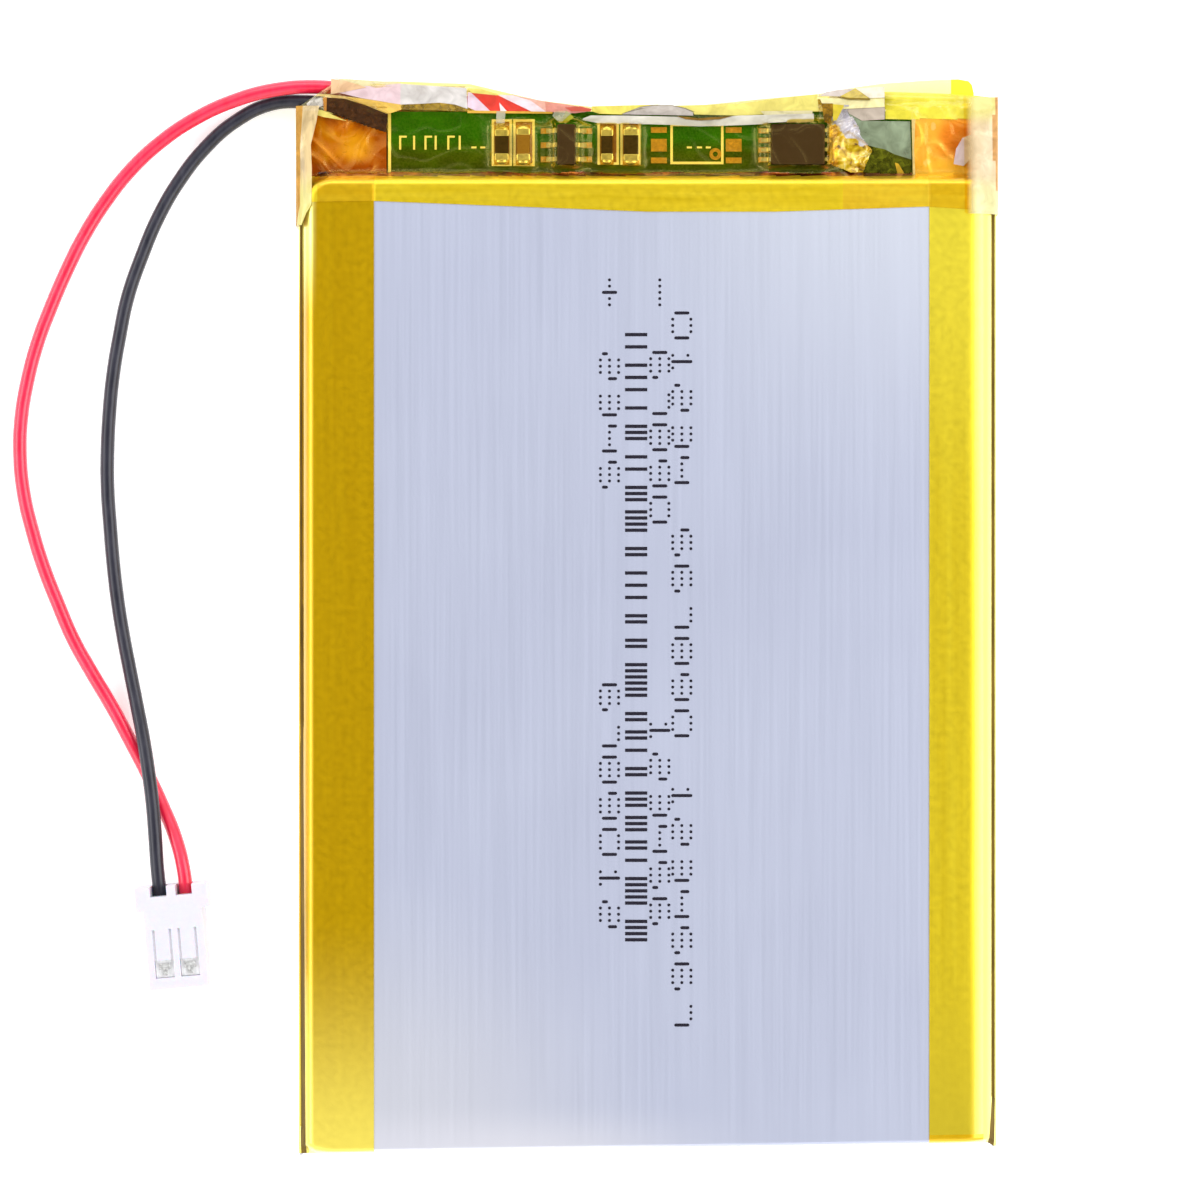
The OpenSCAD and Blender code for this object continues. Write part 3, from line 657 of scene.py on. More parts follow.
def cup_depth(x, y):
    """Distance inside the cup's outline. It is stretched near the two ends, whose edges are rounded less."""
    across = CUP_X - np.abs(x)
    along = np.minimum((y - CUP_Y0) / EDGE_BOTTOM, (CUP_Y1 - y) / EDGE_TOP) * edge_width(x)
    corner = CORNER_R - np.hypot(np.maximum(CORNER_R - across, 0), np.maximum(CORNER_R - along, 0))
    return np.where((across < CORNER_R) & (along < CORNER_R), corner, np.minimum(across, along))


def cup_surface(x, y, outside):
    """Height of the cup's front, and outside beyond its outline."""
    depth = cup_depth(x, y)
    u = np.clip(1 - depth / edge_width(x), 0, 1)
    drop = EDGE_H * (1 - (1 - u ** ROUNDNESS) ** (1 / ROUNDNESS))
    sag = 0.03 * np.exp(-np.maximum(depth, 0) / 2.0)
    return np.where(depth > 0, FACE_Z - drop - sag, outside)


def lower_end(x, y):
    """The pack's lower end isn't quite square: how far a point near it moves along Y."""
    start_y = -20
    reach = 18
    middle = -0.15
    slope = 0.016
    share = np.clip((start_y - y) / reach, 0, 1)
    return (middle + slope * x) * share * share * (3 - 2 * share)


def smooth_noise(x, y, size, seed):
    """Signed noise over a grid, with features about size across."""
    flat = [noise.noise(Vector((a / size, b / size, seed))) for a, b in zip(x.ravel(), y.ravel())]
    return np.array(flat).reshape(x.shape)


def creases(x, y, size, seed, bend=0.6):
    """Sharp ridges between flat stretches, from 0 to 1, as in crumpled film."""
    shift_x = x + bend * size * smooth_noise(x, y, size * 1.7, seed + 9)
    shift_y = y + bend * size * smooth_noise(x, y, size * 1.7, seed + 17)
    ridge = 1 - np.abs(smooth_noise(shift_x, shift_y, size, seed)) * 3
    return np.clip(ridge, 0, 1) ** 3


def averaged(z):
    """A grid of heights with each inner one at the mean of its four neighbours."""
    mean = z.copy()
    mean[1:-1, 1:-1] = (z[:-2, 1:-1] + z[2:, 1:-1] + z[1:-1, :-2] + z[1:-1, 2:]) / 4
    return mean


def relax(z, floor, pull, steps):
    """Lets a sheet settle on what is under it, with its border held."""
    for _ in range(steps):
        settled = np.maximum(floor, averaged(z) - pull)
        z[1:-1, 1:-1] = settled[1:-1, 1:-1]
    return z


# ---- Camera, light and floor ----

def add_camera():
    """A long lens straight above the pack. view_w is the width it sees, at the height of the face."""
    lens = 150
    sensor = 36
    view_w = 94.7
    target = (-3.75, 1.26, 3)
    camera = bpy.data.cameras.new("camera")
    camera.lens = lens
    camera.sensor_width = sensor
    obj = bpy.data.objects.new("camera", camera)
    obj.location = (target[0] * MM, target[1] * MM, (target[2] + view_w * lens / sensor) * MM)
    bpy.context.scene.collection.objects.link(obj)
    bpy.context.scene.camera = obj


def softbox(name, place, size, glow):
    """A rectangular lamp that faces the middle of the pack. glow is its brightness as seen."""
    lamp = bpy.data.lights.new(name, "AREA")
    lamp.shape = "RECTANGLE"
    lamp.size, lamp.size_y = size
    lamp.energy = glow * math.pi * size[0] * size[1]
    obj = bpy.data.objects.new(name, lamp)
    obj.location = place
    obj.rotation_euler = (-Vector(place)).to_track_quat("-Z", "Y").to_euler()
    bpy.context.scene.collection.objects.link(obj)


def add_light():
    """Soft light all round, a dark patch straight above where the camera hangs, and four softboxes."""
    world = bpy.data.worlds.new("studio")
    world.use_nodes = True
    nodes, links = world.node_tree.nodes, world.node_tree.links
    background = nodes["Background"]
    background.inputs["Color"].default_value = (0.985, 0.99, 1.0, 1)
    spot = nodes.new("ShaderNodeTexCoord")
    parts = nodes.new("ShaderNodeSeparateXYZ")
    patch = nodes.new("ShaderNodeMapRange")
    patch.interpolation_type = "SMOOTHSTEP"
    patch.inputs["From Min"].default_value = math.cos(math.radians(26))
    patch.inputs["From Max"].default_value = math.cos(math.radians(9))
    patch.inputs["To Min"].default_value = 1.05
    patch.inputs["To Max"].default_value = 0.03
    links.new(spot.outputs["Generated"], parts.inputs["Vector"])
    links.new(parts.outputs["Z"], patch.inputs["Value"])
    links.new(patch.outputs["Result"], background.inputs["Strength"])
    bpy.context.scene.world = world
    softbox("softbox_left", (-0.42, 0.0, 0.27), (0.50, 0.22), 3.2)
    softbox("softbox_right", (0.38, 0.0, 0.36), (0.55, 0.34), 3.0)
    softbox("softbox_back", (0.0, 0.45, 0.30), (0.50, 0.20), 2.4)
    softbox("softbox_front", (0.0, -0.45, 0.30), (0.50, 0.20), 0.9)


def add_floor():
    """A wide pale floor under the pack."""
    half = 1.5
    mesh = bpy.data.meshes.new("floor")
    corners = [(-half, -half, 0), (half, -half, 0), (half, half, 0), (-half, half, 0)]
    mesh.from_pydata(corners, [], [(0, 1, 2, 3)])
    mesh.materials.append(FLOOR)
    obj = bpy.data.objects.new("floor", mesh)
    obj.location = (0, 0, -0.0002)
    bpy.context.scene.collection.objects.link(obj)


# ---- Cords ----

def wire(node, route, material):
    """A round wire on a smooth curve through the route's points."""
    name = node + "_lead"
    curve = bpy.data.curves.new(name, "CURVE")
    curve.dimensions = "3D"
    curve.bevel_depth = WIRE_D / 2 * MM
    curve.bevel_resolution = 5
    curve.resolution_u = 6
    curve.use_fill_caps = True
    spline = curve.splines.new("BEZIER")
    spline.bezier_points.add(len(route) - 1)
    for point, place in zip(spline.bezier_points, route):
        point.co = [c * MM for c in place]
        point.handle_left_type = "AUTO"
        point.handle_right_type = "AUTO"
    curve.materials.append(material)
    obj = bpy.data.objects.new(name, curve)
    bpy.context.scene.collection.objects.link(obj)
    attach(obj, "root")
    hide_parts(node)
    return obj


def add_wires():
    """The two wires of the lead, as cords that end in the plug."""
    red = wire("red_wire", RED_ROUTE, RED)
    black = wire("black_wire", BLACK_ROUTE, BLACK)


# ---- Pouch ----

def pouch_ring(depth, z):
    """Points round the cup at a depth inside its outline, the same number for each depth."""
    scale = EDGE_BOTTOM / ((EDGE_LEFT + EDGE_RIGHT) / 2)
    radius = max(CORNER_R - depth, 0.2)
    right = CUP_X - depth - radius
    top = CUP_Y1 - (depth + radius) * scale
    bottom = CUP_Y0 + (depth + radius) * scale
    turns = 8
    straight = 24
    ring = []
    corners = ((right, bottom, -90), (right, top, 0), (-right, top, 90), (-right, bottom, 180))
    for k, (x, y, start) in enumerate(corners):
        for i in range(turns + 1):
            angle = math.radians(start + 90 * i / turns)
            ring.append((x + radius * math.cos(angle), y + radius * scale * math.sin(angle), z))
        after = corners[(k + 1) % 4]
        angle = math.radians(start + 90)
        end = (after[0] + radius * math.cos(angle), after[1] + radius * scale * math.sin(angle))
        last = ring[-1]
        for i in range(1, straight):
            t = i / straight
            ring.append((last[0] + (end[0] - last[0]) * t, last[1] + (end[1] - last[1]) * t, z))
    return ring


def add_pouch():
    """The drawn cup as rings, from its wall to the middle of its face."""
    wall_z = FACE_Z - EDGE_H
    depths = [EDGE_RIGHT * (1 - math.sin(math.radians(a))) for a in range(90, -1, -5)]
    depths += [2.5, 3, 4, 5, 6.5, 8.5, 11, 14, 17, 20, 23, 26]
    rings = [pouch_ring(0, COVER_Z), pouch_ring(0, wall_z)]
    for depth in depths[1:]:
        ring = np.array(pouch_ring(depth, 0))
        ring[:, 2] = cup_surface(ring[:, 0], ring[:, 1], wall_z)
        ring[:, 2] -= 0.012 * (1 + smooth_noise(ring[:, 0], ring[:, 1], 9, 4.0)) * min(1, depth / 4)
        rings.append(ring.tolist())
    rings = [[(px, py + float(lower_end(px, py)), pz) for px, py, pz in ring] for ring in rings]
    points = [p for ring in rings for p in ring]
    faces = ring_faces(len(rings), len(rings[0]))
    piece("pouch_skin", points, faces, [LAMINATE], ["pouch_cup"])


def add_terrace():
    """The flat seal beside the cup, raised where it goes over the two tabs."""
    tab_x = 16.9
    tab_half = 3.1
    steepness = 9
    x, y = np.meshgrid(np.linspace(-CUP_X, CUP_X, 160), np.linspace(CUP_Y1 - 0.2, TERRACE_Y1, 26))
    hump = sum(1 / (1 + np.exp((np.abs(x - s * tab_x) - tab_half) * steepness)) for s in (-1, 1))
    z = COVER_Z + 0.08 + 0.32 * hump + 0.03 * smooth_noise(x, y, 1.5, 2.0)
    sheet_piece("pouch_terrace", x, y, z, [LAMINATE], 0.1)


# ---- Side tapes ----

# The left side is built as the right one, with x turned round
SIDE_NAMES = {-1: "left", 1: "right"}


def edge_warp(x, y, side):
    """Moves the groove near the tape's outer edge inward, on the left more and more towards the lower end."""
    furthest = 0.33
    reach = 1.8
    if side < 0:
        share = np.clip((5 - y) / 45, 0, 1)
    else:
        share = 0.3 + 0.9 * np.clip((-38 - y) / 4, 0, 1)
    rise = np.clip((x - CUP_X + reach) / reach, 0, 1)
    fall = np.clip((SIDE_X - x) / (SIDE_X - CUP_X - 0.1), 0, 1)
    return x - furthest * share * rise * rise * fall


def side_tape_front(side, columns, rows):
    """X, y and z of a side tape on the front, where it lies on the cup's edge and on the folded seal. At
    the lower end it hangs from its own end to the cup."""
    far_below = -10
    hanging_l = 2.0
    steps = 120
    pull = 0.004
    x, y = np.meshgrid(np.array(columns), rows)
    seal = np.where(x > CUP_X - 0.02, SEAL_Z + 0.02, SEAL_Z - 1.0)
    x = edge_warp(x, y, side)
    under = np.maximum(cup_surface(side * x, y, far_below), seal)
    z = under.copy()
    z[0, :] = np.linspace(SEAL_Z + 0.75, SEAL_Z + 0.1, z.shape[1])
    for _ in range(steps):
        z = np.where(y < CUP_Y0 + hanging_l, np.maximum(under, averaged(z) - pull), z)
    return x, y, z + (TAPE_T / 2 + 0.010 * smooth_noise(x, y * 0.25, 1.3, 5.0 + side))


def add_side_tape(side, material, node):
    """Tape from the front face over the cup's edge and the folded seal to the back."""
    inner_x, edge = (TAPE_IN_LEFT, EDGE_LEFT) if side < 0 else (TAPE_IN_RIGHT, EDGE_RIGHT)
    arc = [CUP_X - edge * (1 - math.sin(math.radians(a))) for a in range(0, 81, 5)]
    flat_steps = 8
    inner = [inner_x + (arc[0] - inner_x) * t / flat_steps for t in range(flat_steps)]
    outer = [CUP_X + 0.03, CUP_X + 0.10, CUP_X + 0.30, CUP_X + 0.34]
    fine_y = CUP_Y0 + 4.5
    rows = np.concatenate([
        np.linspace(CUP_Y0 - 0.06, fine_y, 40, endpoint=False), np.linspace(fine_y, CUP_Y1 - 0.1, 150),
    ])
    x, y, z = side_tape_front(side, inner + arc + outer, rows)

    # Past the front: a small turn, the skirt down the side, and the strip on the back
    lift = TAPE_T / 2
    turn_h = 0.14
    top = z[:, -1:]
    last = x[:, -1:]
    turn = [math.sin(t * math.pi / 2) for t in (0.3, 0.6, 0.85, 1.0)]
    turn_x = np.concatenate([last + (SIDE_X - lift - last) * t for t in turn], 1)
    turn_z = np.concatenate([top - turn_h * (1 - math.sqrt(1 - t * t)) for t in turn], 1)
    drop = (0.2, 0.45, 0.7, 0.95, 1)
    skirt_x = np.full((len(rows), len(drop)), SIDE_X - lift)
    skirt_x += np.minimum(0, 0.05 * smooth_noise(y[:, :1] * 0.3, top, 1.0, 8.0 + side))
    skirt_z = np.concatenate([(top - turn_h) * (1 - t) + lift * t for t in drop], 1)
    back_x = np.concatenate([np.full_like(top, SIDE_X - SIDE_BACK_W * t) for t in (0.04, 0.3, 0.6, 1)], 1)
    x = np.concatenate([x, turn_x, skirt_x, back_x], 1)
    z = np.concatenate([z, turn_z, skirt_z, np.full_like(back_x, lift)], 1)
    y = np.repeat(y[:, :1], x.shape[1], 1)
    end_shift = lower_end(side * x, y)
    y = y + np.where(x > CUP_X, np.minimum(end_shift, 0), end_shift)

    plain, shaded, double = range(3)
    line = len(inner) + len(arc) + 1
    look = np.full((len(rows) - 1, x.shape[1] - 1), plain)
    # Painted shade along the groove by the outer edge
    look[:, line:line + 1] = shaded
    if side > 0:
        look[rows[:-1] < CUP_Y0 + 0.7, :len(inner) + 9] = double
    name = f"tape_{SIDE_NAMES[side]}_side"
    sheet_piece(
        name, side * x, y, z, [material, TAPE_LINE, GOLD_DOUBLE], face_slots=look.ravel(),
        replaced=[node],
    )


# ---- End wrap ----

def cap_edge(x, edge=CAP_EDGE):
    """Y of the end tape's edge at x."""
    xs, ys = zip(*edge)
    return CUP_Y1 + np.interp(x, xs, ys)


# What stands on the board under the film
PARTS = (
    "protection_ic", "mosfet", "resistor_r1", "capacitor_c1", "resistor_r2", "resistor_r3",
    "protection_ic_leads", "mosfet_leads",
)


def fold_height(x, y):
    """The crumpled amber layers at both ends of the board."""
    return 0.12 * creases(x, y, 3.0, 31.0, 0.9) + 0.25 * smooth_noise(x, y, 2.8, 12.0)


def under_film(x, y):
    """Height of what lies under the end tape: the cup, the side tapes, the board, and the folds beside it."""
    beside_cup_z = 2.6
    past_cup_z = 2.15
    board_half = 20.7
    margin = 0.18
    z = np.where(y < CUP_Y1 + 0.1, cup_surface(x, y, beside_cup_z), past_cup_z)
    on_side_tape = ((x < -TAPE_IN_LEFT) | (x > TAPE_IN_RIGHT)) & (y < CUP_Y1)
    z = np.where(on_side_tape, np.maximum(z, SEAL_Z) + TAPE_T, z)
    across_board = (x > board_low.x - 0.1) & (x < board_high.x + 0.1)
    along_board = (y > board_low.y) & (y < board_high.y + 0.1)
    z = np.where(across_board & along_board, BOARD_Z + FILM_GAP, z)
    for node in PARTS:
        low, high = box_mm(node)
        two_ended = high.y - low.y < 2.9 and high.x - low.x < 2
        reach = 0.9 if two_ended else 0.15
        inside = (x > low.x - margin) & (x < high.x + margin) & (y > low.y - reach) & (y < high.y + reach)
        z = np.where(inside, np.maximum(z, high.z + FILM_GAP), z)
    ends = (np.abs(x - BOARD_MID_X) > board_half) & (y > CUP_Y1 - 0.4) & (y < CUP_Y1 + 5.6)
    return np.where(ends, np.maximum(z, FOLD_Z + FILM_GAP + fold_height(x, y)), z)


def end_wrap_front(across):
    """X, y and z of the end tape on the front, settled on what is under it, and loose past the cup."""
    end_z = 2.5
    lowest_z = 3.0
    rows = 90
    x, t = np.meshgrid(across, np.linspace(0, 1, rows))
    start = np.interp(x, (-27.5, -21.7, 0, 10, 22, 27.5), (32.5, 32.6, 31.75, 31.75, 32.15, 31.8))
    y = start + (cap_edge(x) - ROLL_R - start) * t
    under = under_film(x, y) + TAPE_T / 2
    z = np.maximum(under, lowest_z)
    z[-1, :] = end_z
    z = relax(z, under, 0.009, 500)
    loose = np.clip((y - CUP_Y1) / 0.8, 0, 1)
    ripple = 0.07 * creases(x, y, 2.4, 3.0) + 0.03 * smooth_noise(x, y, 1.1, 6.0)
    z += loose * ripple * np.where(np.abs(x - BOARD_MID_X) > 20, 1.5, 1.0)
    return x, y, np.minimum(z, FACE_Z + TAPE_T * 1.5)


WRAP_LOOKS = [GOLD_TOP, FILM, VALLEY_SHADE, EDGE_FILM, GOLD_DOUBLE, TAIL_DOUBLE, GOLD_WARM, BACK_FILM]


def end_wrap_looks(x, y, on_back):
    """Which of WRAP_LOOKS each face of the end tape has, from the middles of the faces."""
    gold, film, valley_shade, edge, double, tail, warm, back = range(len(WRAP_LOOKS))
    pouch_end = CUP_Y1 + 0.02
    valley_shade_end = pouch_end + (0.30 + 0.08 * np.sin(x * 0.9))
    left_x = -26
    board_end_x = 20.9
    wavy_edge = np.interp(x, (-20, -4, 6, 14), (39.95, 39.7, 39.2, 39.9))
    edge_start = np.where(x < 13.5, wavy_edge, 39.2)
    tail_x = 18.8
    warm_x = 15.4
    look = np.where(y < pouch_end, gold, film)
    # Painted shade in the valley between the cup's end and the board
    look[(y >= pouch_end) & (y < valley_shade_end) & (x > left_x) & (x < board_end_x)] = valley_shade
    look[y > edge_start] = edge
    look[(y > edge_start) & (x >= tail_x)] = tail
    look[(look == gold) & (x > left_x) & (x < -TAPE_IN_LEFT)] = double
    look[(look == gold) & (x > warm_x) & (x < TAPE_IN_RIGHT)] = warm
    look[(look == gold) & (x > TAPE_IN_RIGHT) & (x < 25.2)] = double
    look[on_back] = np.where(y <= TERRACE_Y1, gold, back)[on_back]
    return look


def add_end_wrap():
    """The tape over the board end: golden on the pouch, clear over the board, then round to the back."""
    columns = 368
    inset = 0.03
    lift = TAPE_T / 2
    across = np.linspace(-SIDE_X + 2 * inset, SIDE_X - 2 * inset, columns)
    x, y, z = end_wrap_front(across)
    front_rows = len(x)
    edge_y = cap_edge(across)
    extra_y, extra_z = [], []
    for degrees in range(15, 91, 15):
        angle = math.radians(degrees)
        extra_y.append(edge_y - ROLL_R + ROLL_R * math.sin(angle) - inset)
        extra_z.append(z[-1] - ROLL_R * (1 - math.cos(angle)))
    for s in (0.2, 0.4, 0.6, 0.8, 0.95, 1.0):
        extra_y.append(edge_y - inset)
        extra_z.append((z[-1] - ROLL_R) * (1 - s) + lift * s)
    for s in (0.02, 0.3, 0.6, 1.0):
        extra_y.append(edge_y + (WRAP_Y0 - edge_y) * s)
        extra_z.append(np.full_like(across, lift))
    x = np.concatenate([x, np.tile(across, (len(extra_y), 1))])
    y = np.concatenate([y, np.array(extra_y)])
    z = np.concatenate([z, np.array(extra_z)])

    # The wires go in through a gap in the turned part on the left
    mid_x = (x[:-1, :-1] + x[1:, 1:]) / 2
    mid_y = (y[:-1, :-1] + y[1:, 1:]) / 2
    turned_rows = 10
    past_front = np.arange(len(mid_x))[:, None] - front_rows
    on_back = np.broadcast_to(past_front >= turned_rows, mid_x.shape)
    gap = (mid_x < -24.9) & (past_front >= 1) & (past_front < turned_rows)
    look = end_wrap_looks(mid_x, mid_y, on_back)
    sheet_piece(
        "end_wrap", x, y, z, WRAP_LOOKS, face_slots=look.ravel(), replaced=["top_wrap_tape"],
        keep=~gap.ravel(),
    )


def add_edge_fold():
    """A whitish bunched fold of the end tape along the board's far edge."""
    x, t = np.meshgrid(np.linspace(-5.1, 13.1, 150), np.linspace(0, 1, 10))
    upper = np.interp(
        x, (-5.1, -4.5, -2.2, 2.6, 4.1, 7.3, 13.1), (39.2, 39.45, 39.45, 39.35, 39.2, 39.45, 39.6),
    )
    lower = np.interp(x, (-5.1, -3.8, 1, 4.1, 7.3, 10.5, 13.1), (39.1, 38.85, 38.75, 38.6, 38.7, 38.85, 39.0))
    y = lower + (upper - lower) * t
    z = under_film(x, y) + 0.3 + 0.06 * np.sin(t * math.pi) + 0.05 * creases(x, y, 1.1, 61.0)
    sheet_piece("end_fold", x, y, relax(z, z, 0, 60), [WHITE_FOLD], 0.04)


def add_cheek(side):
    """The fold of the end tape down one side of the pack, its pale face a painted highlight."""
    rows = np.linspace(WRAP_Y0 - (1.0 if side < 0 else 0.1), CUP_Y1 + (5.6 if side < 0 else 6.3), 80)
    steps = (WRAP_Y0 - 1, WRAP_Y0, WRAP_Y0 + 0.6, CUP_Y1 + 0.5, CUP_Y1 + 2.5, CUP_Y1 + 4.2, CUP_Y1 + 6)
    if side < 0:
        outer_x = SIDE_X + 0.2
        inner_x = np.interp(rows, steps, (27.2, 26.8, 26.4, 26.4, 26.5, 26.1, 25.8))
    else:
        outer_x = SIDE_X + 0.1
        inner_x = np.interp(rows, steps, (26.3, 24.9, 24.9, 24.9, 24.9, 24.9, 24.9))
    steps = (WRAP_Y0 - 1, WRAP_Y0, CUP_Y1 - 1.5, CUP_Y1 + 0.5, CUP_Y1 + 5.2, CUP_Y1 + 6.3)
    top = np.interp(rows, steps, (4.95, 4.95, 4.9, 4.5, 3.8, 3.2))

    # A quarter turn over the edge, then the foot down to the table
    angles = np.radians(np.linspace(0, 90, 9))
    foot = (0.3, 0.6, 0.9, 1.0)
    columns_x = [inner_x + (outer_x - inner_x) * math.sin(a) for a in angles]
    columns_x += [np.full_like(rows, outer_x)] * len(foot)
    level = [top - (top - SEAL_Z - 0.1) * (1 - math.cos(a)) for a in angles]
    level += [level[-1] * (1 - s) + 0.05 * s for s in foot]
    x = np.array(columns_x).T
    z = np.array(level).T
    y = np.tile(rows[:, None], (1, x.shape[1]))
    z = z + 0.05 * smooth_noise(y, x, 1.5, 22.0 + side)
    over = cup_surface(side * x, y, 0) + TAPE_T * 2.5
    z = np.where((y < CUP_Y1) & (x < CUP_X) & (z > SEAL_Z), np.maximum(z, over), z)
    z = np.minimum(z, FACE_Z + TAPE_T * 2.5)

    # The pale faces carry the painted highlight
    pale, rim, golden = range(3)
    rim_start = 4 if side < 0 else 6
    look = np.full((len(rows) - 1, x.shape[1] - 1), pale)
    look[:, rim_start:] = rim
    if side > 0:
        look[(rows[:-1] > CUP_Y1 + 1.2) & (rows[:-1] < CUP_Y1 + 4.8), rim_start - 1] = rim
        look[rows[:-1] < CUP_Y1 - 1.2, rim_start] = pale
    look[:, len(angles) - 1:] = golden
    materials = [CREAM_LEFT, RIM_LEFT, GOLD_TOP] if side < 0 else [CREAM_RIGHT, RIM_RIGHT, GOLD_TOP]
    name = f"wrap_cheek_{SIDE_NAMES[side]}"
    sheet_piece(name, side * x, y, z, materials, face_slots=look.ravel())


def add_folds(side):
    """Crumpled amber layers between one end of the board and the side of the pack."""
    outer = SIDE_X - 0.5
    inner = abs(board_low.x) + 0.1 if side < 0 else board_high.x + 0.1
    x, y = np.meshgrid(np.linspace(inner, outer, 60), np.linspace(CUP_Y1 + 0.05, CUP_Y1 + 5.4, 54))
    x = side * x
    z = FOLD_Z + fold_height(x, y)
    wire_y = 39.5
    wire_x = -24.8
    wire_slope = 0.33
    over_wire = (side < 0) & (y > wire_y - wire_slope * np.maximum(x - wire_x, 0))
    keep = ~over_wire[:-1, :-1]
    material = ORANGE if side < 0 else ORANGE_PALE
    name = f"tape_folds_{SIDE_NAMES[side]}"
    sheet_piece(name, x, y, z, [material], 0.1, keep=keep.ravel())


